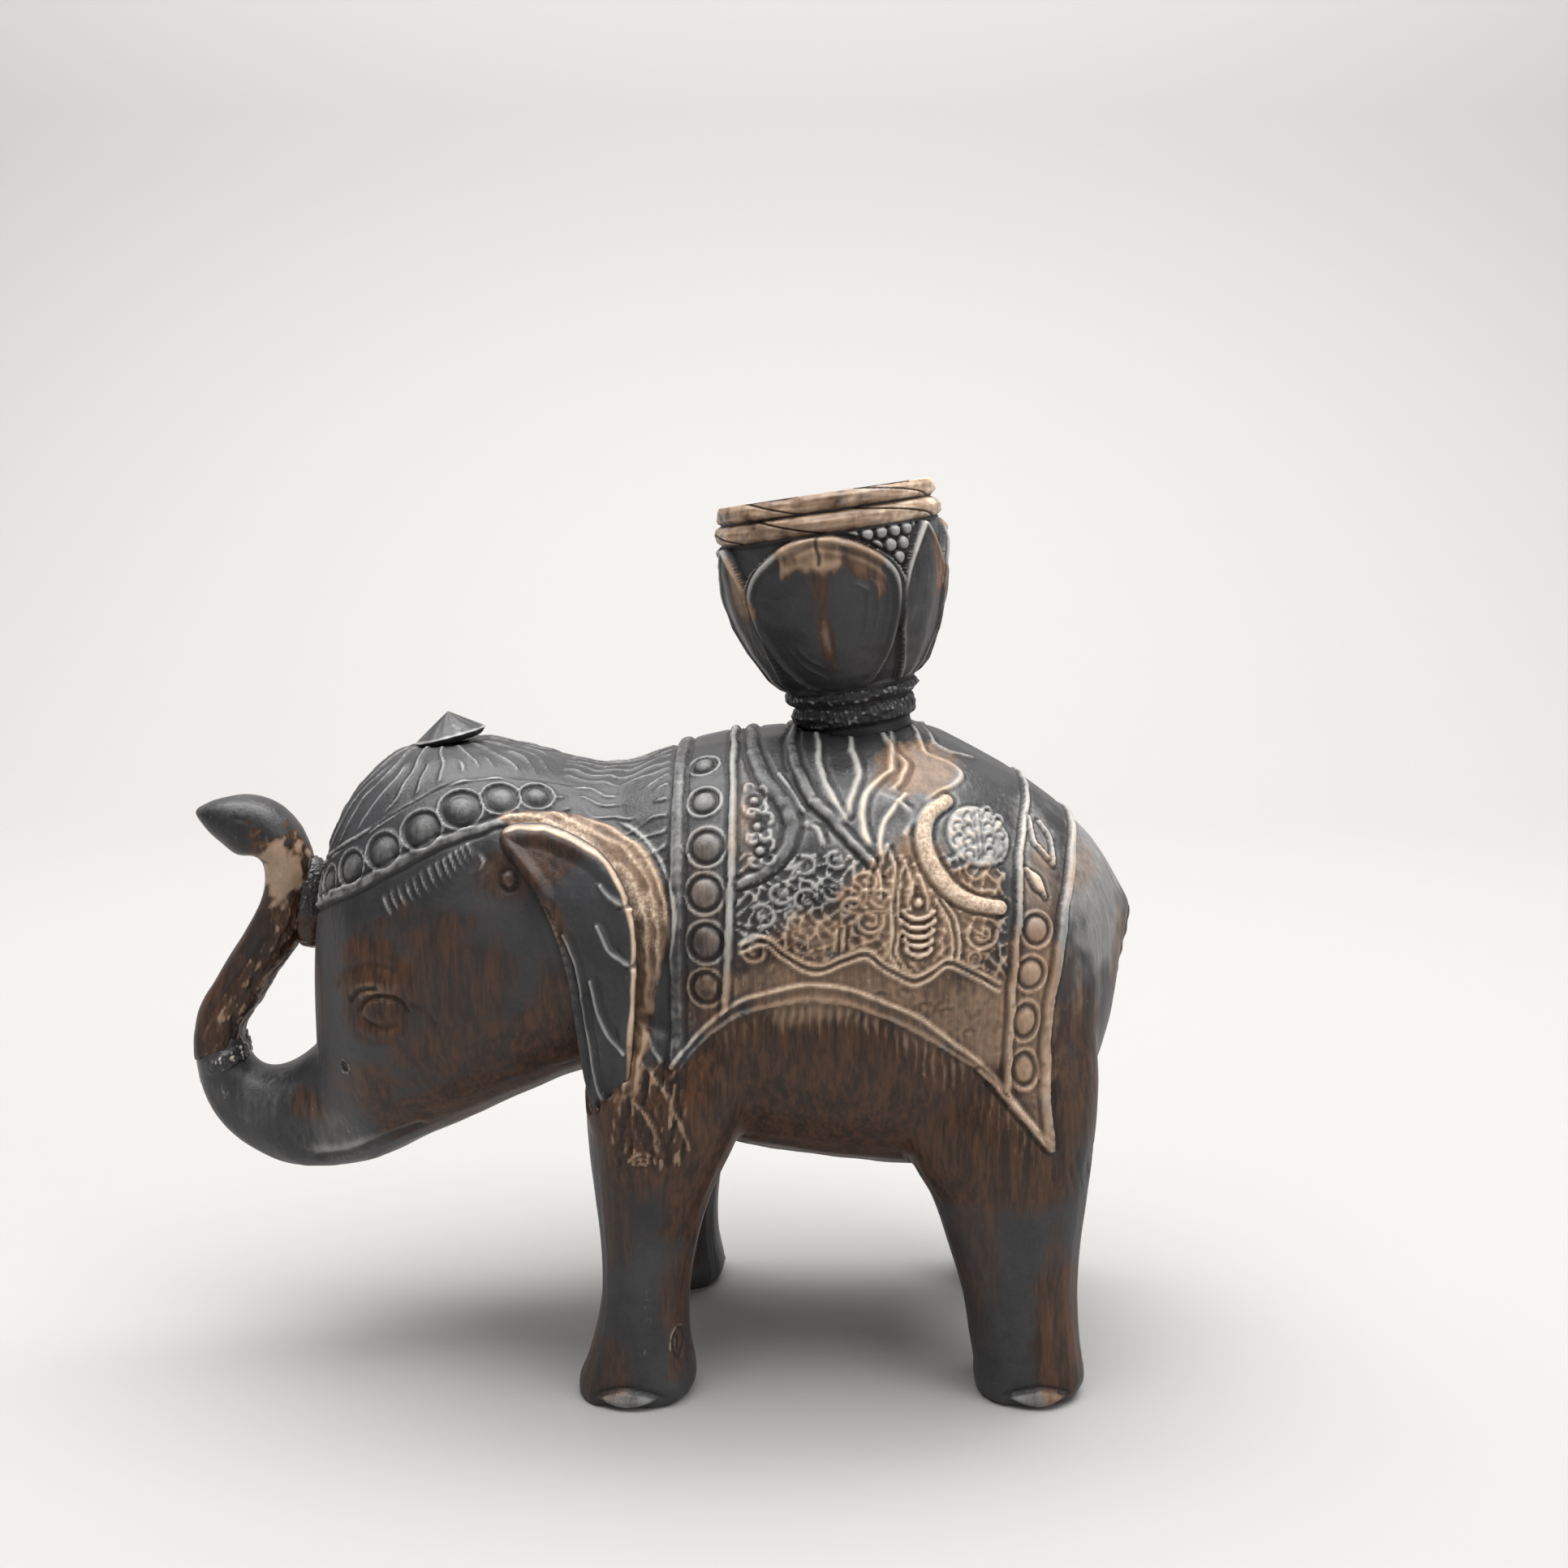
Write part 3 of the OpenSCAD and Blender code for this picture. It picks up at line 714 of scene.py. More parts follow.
def eye(r):
    """A small eye under a heavy lid, with soft folds above and below."""
    u = r.x + 53.6
    v = r.z - 82.6 - 0.1 * u
    near = (np.abs(u) < 18) & (np.abs(v) < 16) & (r.y > 16)
    fold = bell(u, 7) * bell(v - 4.6, 2.6)
    bag = bell(u, 6) * bell(v + 5, 2.6)
    hollow = bell(u, 7.5) * bell(v, 4.2)
    r.h += near * (0.75 * fold + 0.3 * bag - 0.55 * hollow)
    ball = np.clip(1 - (u / 4.2) ** 2 - (v / 2.9) ** 2, 0, 1)
    r.h += near * 1.1 * np.sqrt(ball)
    r.groove([(-60, 84.4), (-57.8, 86.6), (-54.4, 87.4)], 0.5, 0.6, dirt_and_shade=0.9)
    r.groove([(-58.2, 82.6), (-56.2, 84.8), (-53, 85.6), (-49.8, 84.8), (-47.8, 82.6)], 0.4, 0.55, dirt_and_shade=0.6)
    r.groove([(-57.4, 80.4), (-54, 79), (-50.4, 79.8)], 0.45, 0.3, dirt_and_shade=0.3)
    r.groove([(-53.8, 83.6), (-53.6, 81.8)], 0.55, 0.25, dirt_and_shade=0.9)
    r.groove([(-59, 77.4), (-54.4, 75.4), (-50, 76.2)], 0.8, 0.2, dirt_and_shade=0.15)
    r.groove([(-63, 87), (-60.6, 90.4), (-56, 92.2), (-51, 91.6)], 0.7, 0.3, dirt_and_shade=0.3)
    r.groove([(-47.4, 84.4), (-44.6, 83), (-42.4, 80.2)], 0.5, 0.25, dirt_and_shade=0.3)
    r.wear_and_light(near * (0.28 * fold + 0.16 * bag))


def mouth_and_cheek(r):
    """The soft mouth line, the ridge above it and the chipped tusk hole."""
    mouth = [(-49, 53.8), (-55.5, 51.2), (-60.8, 48.2), (-67, 44.6), (-73, 42.8)]
    r.groove(mouth, 1.3, 0.55, dirt_and_shade=0.3)
    r.scratch([(x, z + 2.6) for x, z in mouth], 1.5, 0.45, worn=0.18)
    r.boss((-62.6, 23.4, 69), 0.8, -0.6, 0.4, ring=True, worn=0.5)
    u, v = r.x + 44, r.z - 68
    r.h += (r.y > 15) * 0.5 * bell(u, 13) * bell(v, 9)


# ---- Legs and rump ----

def toenails(r):
    """One broad, lens-shaped nail under a dark brow on each foot, and a swell round the sole."""
    for x, y, shift in ((-4.9, 38.4, 4.0), (79.6, 37.8, 2.0)):
        middle = x + np.where(r.side > 0, shift, 0)
        foot = (np.abs(r.x - middle) < 18) & (r.z < 14) & (r.y > 12)
        a = np.arctan2(r.y - (y - 12), r.x - middle)
        u = (a - math.pi / 2) / 0.56
        v = (r.z - 2.5) / 2.3
        nail = 1 - np.abs(u) ** 1.5 - np.abs(v) ** 1.3
        r.h -= foot * 0.8 * bell(u, 1.2) * bell(v - 0.2, 1.4)
        r.h += foot * 1.2 * np.sqrt(np.clip(nail, 0, 1))
        brow = foot * bell(nail + 0.25, 0.2) * step(v, -0.2, 0.3)
        r.h -= 0.3 * brow
        r.soil_and_shade(brow)
        r.wear_and_light(foot * step(nail, 0.05, 0.5) * 0.42)
        r.h += foot * 0.35 * bell(r.z - 3.2, 2.2) * step(np.abs(a - math.pi / 2), 0.4, 0.7)


def leg_knot(r):
    """A narrow oval knot on the shin of each front leg."""
    r.groove(arc(6, 12.9, 1.1, 2.8, 0, 2, 13), 0.32, 0.45, 2, 1)
    r.groove([(5.9, 14.2), (6.1, 12.9), (6.2, 11.8)], 0.4, 0.5)
    r.scratch(arc(5.9, 13, 1.7, 3.4, 0.4, 1.1), 0.3, 0.3, 2, 0.4)


def knife_marks(r):
    """Long shallow knife facets on the bare body, legs and belly, and fringe cuts below the hem."""
    bare = ~r.inside
    legs = step(-r.z, -60, -50)
    facets = np.sin(np.arctan2(r.n[:, 1], r.n[:, 0]) * 9 + 0.9 * np.sin(r.z * 0.09 + r.x * 0.05))
    r.h -= bare * legs * 0.14 * (facets > 0) * np.abs(facets)
    r.h -= bare * 0.16 * (0.5 + 0.5 * waves(r.co * (1, 1, 0.45), 15, 3, 2))
    strokes = np.sin(r.x * 3.4 + 1.3 * np.sin(r.z * 0.25) + 1.2 * waves(r.co, 9, 5, 2))
    hem_z = along(HEM, r.x)
    under = hem_z - along(HEM_STRIP, r.x) - r.z
    below = bare * (1 - step(under, 6, 14)) * step(under, 0, 1) \
        * step(r.x, 6, 10) * (r.y > 15)
    cut = bell(strokes - 0.8, 0.25) * (0.5 + 0.5 * waves(r.co * (1, 1, 0.5), 5, 9, 1))
    r.h -= below * 0.3 * cut
    r.soil_and_shade(below * cut * 0.5)
    r.wear_and_light(below * step(-strokes, 0.3, 1) * 0.22)


def ear_tassel(r):
    """The chip-carved tassel under the ear's tip, down the front of the leg to a small shell."""
    zone = within(r.x, -9, -5, 6.5, 9.5) * within(r.z, 50, 55, 72, 77) \
        * (r.y > 28)
    chips = waves(r.co * (1.5, 1, 0.7), 3.6, 17, 3)
    r.h += zone * (0.1 + 0.6 * chips)
    r.wear_and_light(zone * step(chips, 0.3, 0.9) * 0.42)
    r.soil_and_shade(zone * step(-chips, 0.1, 0.7) * 0.7)
    r.tint(zone * 0.8)
    for points in ([(-4.6, 70), (-1.6, 66), (1.4, 61.4), (2.2, 57)],
                   [(5.8, 70), (5.4, 65.6), (7.6, 61), (8.4, 57)],
                   [(-3.4, 76), (-0.4, 74), (2.4, 70.6), (4.4, 68)], [(0.4, 80), (1.2, 77), (3.2, 75)]):
        r.scratch(points, 0.6, 0.5, worn=0.4)
        r.groove([(x + 1.1, z - 0.3) for x, z in points], 0.45, 0.35, dirt_and_shade=0.4)
    for size in (0.9, 1.9, 2.9):
        r.scratch(arc(-1, 53.2, size, size, 0.0955, 0.9045), 0.4, 0.5, 2, 0.5)


def ear_filler(r, ear):
    """A rough, pale line of filler in the seam over and behind each ear."""
    spots = points_of(ear.data)
    tree = tree_of(spots, np.nonzero(spots[:, 1] < 0)[0][::2])
    use = np.nonzero((r.x > -34) & (r.x < 7) & (r.z > 54) & (r.z < 126) & (r.y > 18))[0]
    gap = np.array([tree.find((r.x[i], -r.y[i], r.z[i]))[2] for i in use])
    rough = waves(r.co[use], 4.2, 23, 3)
    ragged = waves(r.co[use], 9, 29, 2)
    corner = step(r.z[use], 84, 106)
    middle = along([(57, -9), (84, -9), (100, -10), (112, -18), (118, -27), (121, -31)], r.z[use])
    behind = step(r.x[use] - middle, 0, 3)
    wide = 2.4 + 3.7 * corner * step(r.x[use], -26, -8)
    fill = (1 - step(gap + 0.5 * ragged + 0.1 * rough, wide, wide + 1.8)) * step(r.z[use], 60, 74) * behind
    flow = threads((gap + 0.4 * ragged) / 2.1, 2.1, 0.4)
    r.h[use] = r.h[use] * (1 - 0.7 * fill) + fill * (0.05 + 0.22 * flow + 0.05 * rough)
    r.strip(fill * corner * (0.4 + 0.2 * ragged + 0.22 * flow), use)
    r.worn[use] = np.maximum(r.worn[use] * (1 - fill), fill * (0.5 + 0.25 * flow + 0.1 * rough))
    r.tint(fill, use)
    second = bell(gap - wide - 2.1, 0.4) * step(r.x[use], -8, -3) * corner
    r.h[use] += 0.35 * second
    r.wear_and_light(0.7 * second, use)
    seam = (1 - step(gap, 0.8, 3.4)) * (1 - behind)
    r.h[use] += 0.7 * seam
    r.sunk[use] *= 1 - fill
    # Painted shade in the hollow in front of the ear's top: sunk, browned and darkened.
    shadowed_hollow = bell(r.x + 27.6, 6.5) * bell(r.z - 110.6, 5.4) * (r.y > 22)
    r.h -= 0.45 * shadowed_hollow
    r.tint(0.7 * shadowed_hollow)
    r.soil_and_shade(0.95 * shadowed_hollow)
    r.boss((-26.9, 31.2, 109.8), 1.5, 0.0, 0.7, 1.2, False, 0.12)


# ---- Where the patina is rubbed, and where sheen is painted: soft spots (x, z, reach in x, reach in z, strength) ----

BROWN_SPOTS = [
    (-54, 87, 11, 14, 0.95), (-34, 58, 26, 12, 0.95), (-18, 72, 12, 24, 0.8), (-38, 76, 18, 14, 0.55),
    (-58, 64, 10, 8, 0.6), (-2, 58, 11, 15, 0.85), (60, 62, 26, 16, 0.9), (86, 70, 10, 24, 0.6),
    (84, 16, 8, 22, 0.85), (66, 30, 8, 26, 0.4), (6, 22, 5, 20, 0.45), (-10, 8, 9, 9, 0.5),
    (-40, 88, 20, 20, 0.5), (11, 104, 5, 20, 0.4), (28, 94, 14, 12, 0.7), (-74, 56, 6, 5, 0.6),
    (12, 46, 12, 16, 0.9), (-6, 40, 6, 12, 0.5), (99, 86, 6, 16, 0.6), (12, 88, 8, 9, 0.6),
    (-70, 84, 4, 14, 0.4)]
# Painted sheen: lighter grey spots, mostly on the parts that face up.
SHEEN_SPOTS = [
    (48, 122, 30, 13, 0.3), (20, 114, 17, 24, 0.24), (92, 104, 9, 24, 0.44), (78, 116, 8, 12, 0.35),
    (-88, 57, 16, 9, 0.22), (-70, 50, 14, 10, 0.26), (-4, 116, 14, 16, 0.1), (-72, 92, 8, 12, 0.2),
    (-3, 24, 10, 22, 0.1)]
TAN_SPOTS = [
    (54, 103, 19, 17, 1.0), (40, 90, 34, 9, 0.85), (68, 84, 18, 14, 0.9), (54, 131, 11, 6, 0.9),
    (76, 82, 9, 26, 0.85), (78, 106, 7, 14, 0.5), (36, 101, 12, 6, 0.7), (14, 84, 8, 7, 0.45),
    (19, 120, 3, 13, 0.4), (88, 112, 6, 8, 0.4)]


def patches(r, spots, seed):
    """Soft spots with ragged edges."""
    total = np.zeros(len(r.x))
    ragged = waves(r.co, 11, seed, 3)
    for x, z, wide, tall, strength in spots:
        d = np.sqrt(((r.x - x) / wide) ** 2 + ((r.z - z) / tall) ** 2) + 0.2 * ragged
        total = np.maximum(total, strength * (1 - step(d, 0.4, 1.25)))
    return total


def body_piece(ear):
    """The block with all its carving, rubbed most where hands hold it, with painted sheen on its upper parts.
    ear is the finished left ear.
    """
    r = Relief(softened("body_block", "body_block_carved", 0.95, 60))
    hem_z, front, rear = cloth_ground(r)
    saddle_borders(r, hem_z, front, rear)
    saddle_figures(r)
    squiggles(r)
    neck_strands(r, front)
    crown_strands(r)
    head_band(r)
    eye(r)
    mouth_and_cheek(r)
    toenails(r)
    leg_knot(r)
    knife_marks(r)
    ear_tassel(r)
    ear_filler(r, ear)
    under = step(hem_z - r.z, 2, 4) * within(r.x, 2, 9, 80, 92) \
        * step(r.z, 38, 50) * ~r.inside
    r.tint(under)
    r.tint(patches(r, BROWN_SPOTS, 41))
    tan = patches(r, TAN_SPOTS, 43) * step(r.y, 8, 16)
    r.tint(tan)
    # Painted sheen: lighter spots, kept off the tan, the cuts and the painted shade of the stems.
    sheen = patches(r, SHEEN_SPOTS, 45)
    plain = (1 - tan) * (1 - 0.5 * r.sunk) * (1 - 0.45 * r.shade)
    r.worn = np.clip(r.worn * (0.78 - 0.4 * tan) + tan * 0.5 + sheen * plain, 0, 1)
    return r.finish(floor=True)


# ---- Ears: outlines as (z, x), flutes as (x, z) ----

EAR_REAR = [(57.5, -3.5), (60, -2.6), (66, -2.8), (74, -2.6), (84, -1.8), (93, -1.4), (101, -1.6), (107, -3),
            (112, -5.6), (116, -9.4), (119, -15.4), (120.4, -20)]
EAR_FRONT = [(57.5, -6.5), (60, -9.5), (66, -12), (74, -13.4), (84, -14.6), (93, -16), (101, -18.4),
             (107, -21.4), (112, -25), (116, -28.6), (119, -29), (120.4, -26)]
EAR_FLUTES = ([(-8.4, 109.6), (-6.4, 106.6), (-2.8, 105)], [(-9.4, 101.4), (-7, 96.6), (-2.9, 93.6)],
              [(-11.2, 90), (-10, 84), (-7, 78.4), (-4.4, 76)], [(-16.6, 99), (-14.4, 93), (-13.6, 87)],
              [(-13.8, 86), (-12.2, 77.6), (-10.6, 69), (-7.2, 63.4)])


def ear_piece(node, name):
    """An ear: a dished blade with a thin rubbed rim, shallow flutes and two notches."""
    r = Relief(softened(node, name, 0.5, 24))
    face = step(r.n[:, 1] * r.side, 0.1, 0.6)
    outline = np.vstack([spline([(x, z) for z, x in EAR_REAR], 8),
                         spline([(x, z) for z, x in EAR_FRONT[:6:-1]], 8)])
    rim = from_line(r.half[:, ::2], outline)[0] + 0.25 * waves(r.co, 8, 61, 2)
    dish = step(rim, 1.5, 4.2) * step(r.z, 60, 74)
    r.h -= face * (1.3 * dish + 0.5 * step(rim, 4, 12) * step(r.z, 66, 80))
    behind = step(r.x - along(EAR_FRONT, r.z), 0.5, 3.5)
    lip = face * (1 - step(rim, 0.8, 1.5)) * np.maximum(behind * step(r.x, -24, -19), step(r.z, 118, 119.4))
    top = step(r.z, 70, 84)
    r.wear_and_light(lip * (0.5 + 0.45 * top))
    r.strip(lip * 0.35 * top)
    r.tint(lip)
    # Painted shade: the dish under the ear's top is browned and darkened, and its front corner darkened.
    shadowed_hollow = face * step(r.z - 0.9 * (r.x + 20), 104, 112)
    r.tint(shadowed_hollow * 0.8)
    r.soil_and_shade(shadowed_hollow * 0.7 * (1 - lip))
    corner = face * step(-r.x, 20, 23) * step(r.z, 100, 106) * (1 - lip)
    r.soil_and_shade(0.85 * corner)
    flecks = step(waves(r.co * (1, 1, 0.5), 2.4, 66, 3), 0.55, 1.0) * step(waves(r.co, 13, 68, 2), -0.1, 0.5)
    r.wear_and_light(face * flecks * 0.25 * (1 - shadowed_hollow))
    for line in EAR_FLUTES:
        r.scratch(line, 0.6, 0.6, worn=0.4)
        r.groove([(x + 1.3, z + 0.6) for x, z in line], 0.8, 0.3, dirt_and_shade=0.15)
    for z in (105.6, 93.8):
        notch = face * bell(r.z - z - 0.1 * r.x, 0.5) * (1 - step(rim, 1.8, 3))
        r.h -= 0.8 * notch
        r.soil_and_shade(notch)
    fold = bell(r.x + 18.4, 2.4) * bell(r.z - 101.5 + 0.8 * (r.x + 18.4), 5.5)
    r.h += face * 0.7 * fold
    r.tint(fold)
    r.wear_and_light(fold * 0.25)
    r.h -= face * 0.12 * (1 + waves(r.co, 9, 13, 2))
    return r.finish()


# ---- Pieces made of rings ----

def rings(radius, angle, high):
    """Points of rings round Z."""
    return np.stack([radius * np.cos(angle), radius * np.sin(angle), high], 1)


def leaning(co, lean, foot):
    """Points round Z, leant towards the head by an angle and stood on foot."""
    return np.stack([co[:, 0] * math.cos(lean) - co[:, 2] * math.sin(lean), co[:, 1],
                     co[:, 0] * math.sin(lean) + co[:, 2] * math.cos(lean)], 1) + foot


def ringed(name, co, around, masks, last=True):
    """A piece whose skin is rings of around points each, closed over the first ring, and over the last one
    unless last is False.
    """
    rows = len(co) // around
    j, i = np.meshgrid(np.arange(rows - 1) * around, np.arange(around), indexing="ij")
    k = (i + 1) % around
    faces = np.stack([j + i, j + k, j + around + k, j + around + i], -1).reshape(-1, 4).tolist()
    if last:
        faces.append(list(range((rows - 1) * around, rows * around)))
    faces.append(list(range(around - 1, -1, -1)))
    mesh = bpy.data.meshes.new(name)
    mesh.from_pydata((co * MM).tolist(), [], faces)
    masks.write(mesh, co)
    return link(name, mesh)


# ---- Trunk, tail, resin and cap ----

def trunk_piece():
    """The raised part of the trunk, with a bare patch and a rough inner side."""
    r = Relief(softened("trunk", "trunk_carved", 0.6, 30))
    r.h -= 0.15 * (1 + waves(r.co, 12, 3, 2))
    r.groove([(-92.2, 0.5, 116.6), (-90, 5, 117.2), (-86, 7.6, 117), (-81.6, 7.8, 115.4)], 0.5, 0.2, dirt_and_shade=0.3)
    bare = bell(r.x + 79.5, 6.5) * bell(r.z - 106, 8) + 0.26 * waves(r.co, 5, 8, 3)
    column = (1 - step(r.z, 99, 106)) * step(r.z, 60, 66)
    middle = along([(64, -95.9), (69.5, -96), (75, -94), (84, -87), (93, -80.8), (101, -79.4)], r.z)
    inner = step(r.x - middle, -3.4, -1.4) * (1 - step(r.z, 98, 102))
    rough = waves(r.co * (1, 1, 0.6), 3.2, 81, 3)
    r.h += inner * (0.22 * rough - 0.25)
    r.h -= 0.35 * bell(r.x - middle + 2.6, 0.5) * (1 - step(r.z, 96, 100))
    r.worn = np.maximum(step(bare, 0.25, 0.8) * 0.76, inner * (0.16 + 0.4 * step(rough, 0.2, 0.9)))
    # Painted sheen: the top of the trunk, from z 108 mm up, a little lighter.
    r.wear_and_light(step(r.z, 108, 113) * 0.16)
    r.brown = np.maximum(step(bare, 0.1, 0.6), np.maximum(inner * 0.95, column * 0.5))
    r.soil_and_shade(inner * step(-rough, 0.3, 0.9) * 0.5)
    return r.finish()


RESIN_AROUND = 150
RESIN_ROWS = 64
RESIN_PATH = [(-95.1, 59.7), (-95.95, 63.5), (-96.05, 69.5)]
RESIN_PLACES = [0, 0.4, 1]


def trunk_resin():
    """Dark lumps of old glue that cling in patches round the trunk's joint, with painted glints on the lumps.
    """
    path = spline(RESIN_PATH, 10)
    places = np.linspace(0, 1, RESIN_ROWS)
    place, turn = np.meshgrid(places, np.arange(RESIN_AROUND) * 2 * math.pi / RESIN_AROUND, indexing="ij")
    t, a = place.ravel(), turn.ravel()
    mid_x, mid_z = (np.interp(t, np.linspace(0, 1, len(path)), path[:, k]) for k in (0, 1))
    half = np.interp(t, RESIN_PLACES, [6.46, 5.68, 5.67])
    wide = np.interp(t, RESIN_PLACES, [7.3, 7.0, 6.7])
    tilt = np.radians(np.interp(t, RESIN_PLACES, [35, 19.5, 5]))

    def surface(extra):
        u = (half + extra) * np.cos(a)
        return np.stack([mid_x + u * np.cos(tilt), (wide + extra) * np.sin(a), mid_z + u * np.sin(tilt)], 1)

    skin = surface(0)
    reach = 0.2 + 0.22 * np.clip(np.cos(a), 0, 1)
    near = step(np.cos(a), -0.45, 0.15)
    patch = near * (1 - step(np.abs(t - 0.45) / reach + 0.4 * waves(skin, 5, 71, 2), 0.5, 1.1))
    film = 1 - step(np.abs(t - 0.38), 0.2, 0.42)
    lumps = waves(skin, 2.3, 72, 3)
    masks = Masks(len(t))
    # Painted glints: the tops of the lumps are lighter.
    masks.wear_and_light(patch * step(lumps, 0.3, 0.8) * 0.75)
    co = surface(-0.8 + 0.66 * film + patch * (0.45 + 0.45 * np.abs(lumps)))
    return ringed("trunk_resin", co, RESIN_AROUND, masks)


def forehead_resin():
    """The glue between the trunk and the forehead: dark lumps above with painted glints, smoother and brown
    below.
    """
    r = Relief(softened("forehead_glue", "forehead_resin", 0.4, 6))
    upper = step(r.z, 94, 98)
    lumps = waves(r.co, 2.6, 15, 3)
    r.h += 0.15 + upper * 0.28 * np.abs(lumps) + (1 - upper) * 0.2 * waves(r.co, 5, 16, 2)
    # Painted glints on the upper lumps; the lower part a little rubbed.
    r.worn = upper * step(lumps, 0.4, 0.9) * 0.25 + (1 - upper) * 0.1
    r.brown = (1 - upper) * 0.6 + 0.2
    return r.finish()


def tail_piece():
    """The slim tail, with cuts across its rear side."""
    r = Relief(softened("tail", "tail_carved", 0.45, 10))
    twist = np.sin(r.z * 1.5 + r.co[:, 1] * 0.8)
    r.h -= 0.14 * (1 + twist) * step(r.x - along([(69, 96.6), (84, 98.8), (97, 101.6)], r.z), 0.2, 1.0)
    r.worn = step(r.n[:, 0], 0.5, 0.95) * 0.5
    r.brown = 0.4 + 0.4 * waves(r.co, 8, 2, 2)
    return r.finish()


CAP_AROUND = 120
CAP_ROWS = 45
CAP_RADIUS = 7.9
CAP_HEIGHT = 6.5
CAP_LIP = 1.5
CAP_LEAN = math.radians(13.6)
SKIRT = 0.35


def cap_piece():
    """The pointed cap on the crown: a plain cone whose lip stands hollow towards the neck, with a painted
    highlight along the lip and painted shade at its foot.
    """
    place, turn = np.meshgrid(np.linspace(0, 1, CAP_ROWS), np.arange(CAP_AROUND) * 2 * math.pi / CAP_AROUND,
                              indexing="ij")
    t, a = place.ravel(), turn.ravel()
    skirt = t < SKIRT
    s = np.where(skirt, t / SKIRT, (t - SKIRT) / (1 - SKIRT))
    uneven = 1 - 0.05 * (1 - np.cos(3 * a + 0.4)) / 2 - 0.03 * np.sin(7 * a + 3 * t) ** 2
    radius = CAP_RADIUS * np.where(skirt, 0.6 + 0.4 * np.sqrt(s), (1 - s) ** 0.96) * uneven
    high = np.where(skirt, 0.1 + (CAP_LIP - 0.1) * s ** 1.5, CAP_LIP + (CAP_HEIGHT - CAP_LIP) * s)
    facets = 0.07 * np.abs(np.sin(3.5 * a + 1)) * np.sin(math.pi * np.clip(s, 0, 1)) * ~skirt
    co = rings(radius, a, high - facets)
    co[:, 0] += 0.9 * np.where(skirt, 0, s)
    co = leaning(co, CAP_LEAN, CAP)
    mottle = waves(co, 5, 97, 3)
    masks = Masks(len(co))
    # Painted highlight: a light line along the lip's edge; mottled wear on the cone. Painted shade: the foot
    # of the skirt darkened; mottled grime.
    masks.wear_and_light(0.3 * bell(t - SKIRT - 0.02, 0.04) + 0.14 * (1 + mottle) * ~skirt)
    masks.soil_and_shade(0.5 * (1 - step(t, 0.1, 0.3)) + 0.25 * step(-mottle, 0.2, 0.8))
    return ringed("crown_cap", co, CAP_AROUND, masks, last=False)


# ---- The lotus cup: heights along its own axis, and turns round it in degrees ----

CUP_PROFILE = [(-3.6, 11.6), (-1.2, 11.6), (-0.4, 13.1), (1.7, 13.7), (3.5, 13), (4, 13.6), (5.2, 14.7),
               (6.6, 14.4), (10, 17.6), (16, 20.9), (22, 23.2), (27.6, 24.5), (33, 24.9), (38.6, 24.5),
               (39.2, 23.2), (40.2, 23.9), (41.6, 24), (43, 23.2), (43.4, 22.7), (44.4, 23.3), (46, 23),
               (47, 22.2)]
# Half a petal's outline as (height, turn from its middle).
BIG_PETAL = [(6, 16), (9, 27), (14, 36), (22, 43), (28, 44), (32, 39), (35.5, 28), (38, 15), (39.6, 0)]
SMALL_PETAL = [(6, 8), (9, 12), (15, 17), (22, 20.5), (27, 20), (32, 14.5), (36, 7.5), (39.6, 0)]
BIG_MIDDLES = (-100, 20, 140)
SMALL_MIDDLES = (-38, 82, 202)
CUP_AROUND = 460
CUP_RIM = 47.0
BOWL_RADIUS = 22.5
BOWL_DROP = 1.9
SEED_TURN = 7.6
SEED_ROW = 2.75
SEED_RADIUS = 1.55
# Each rope under the rim: bottom, top, turn between its strands, their slope and the depth of the crease.
ROPES = ((39.1, 43.2, 60, 11, 0.55), (43.4, 47, 72, 12, 0.5))


class CupSkin(Masks):
    """Heights and colour masks on rings of points round the outside of the cup."""

    def __init__(self):
        levels = np.concatenate([np.linspace(-3.5, 6.4, 42), np.linspace(6.5, 38.8, 125),
                                 np.linspace(38.95, CUP_RIM, 46)])
        high, turn = np.meshgrid(levels, np.arange(CUP_AROUND) * 360 / CUP_AROUND, indexing="ij")
        super().__init__(high.size)
        self.high, self.turn = high.ravel(), turn.ravel()
        self.a = np.radians(self.turn)
        self.radius = along(CUP_PROFILE, self.high)
        self.co = rings(self.radius, self.a, self.high)
        self.bowl = within(self.high, 6.4, 8, 38.6, 38.9)
        self.gap = np.full(high.size, -9.0)
        self.behind = np.zeros(high.size)
        # Painted light: the side of the cup towards the tail (+X) is marked lighter.
        self.lit = step(np.cos(self.a), 0.15, 0.75) * (1 - step(np.abs(np.sin(self.a)), 0.9, 1.0))

    def petal(self, middle, outline):
        """Distance in mm inside a petal's edge, negative outside it, and the turn from its middle."""
        turn = (self.turn - middle + 180) % 360 - 180
        edge = spline(outline, 12)
        flat_edge = np.vstack([edge, edge[::-1] * (1, -1)]) * (1, math.pi / 180 * BOWL_RADIUS)
        arm = np.sqrt(along(CUP_PROFILE, np.clip(self.high, 8, 40)) * BOWL_RADIUS)
        gap = from_line(np.stack([self.high, turn * math.pi / 180 * arm], 1), flat_edge)[0]
        wide = np.interp(self.high, edge[:, 0], edge[:, 1], left=edge[0, 1], right=-1)
        gap = np.where(np.abs(turn) < wide, gap, -gap)
        self.gap = np.maximum(self.gap, gap)
        return gap, turn, self.bowl * step(gap, -0.35, 0.3)

    def lay(self, petal, level):
        """Sets a petal's own level over what lies behind it."""
        self.h = np.where(petal > 0.02, self.h * (1 - petal) + petal * level, self.h)


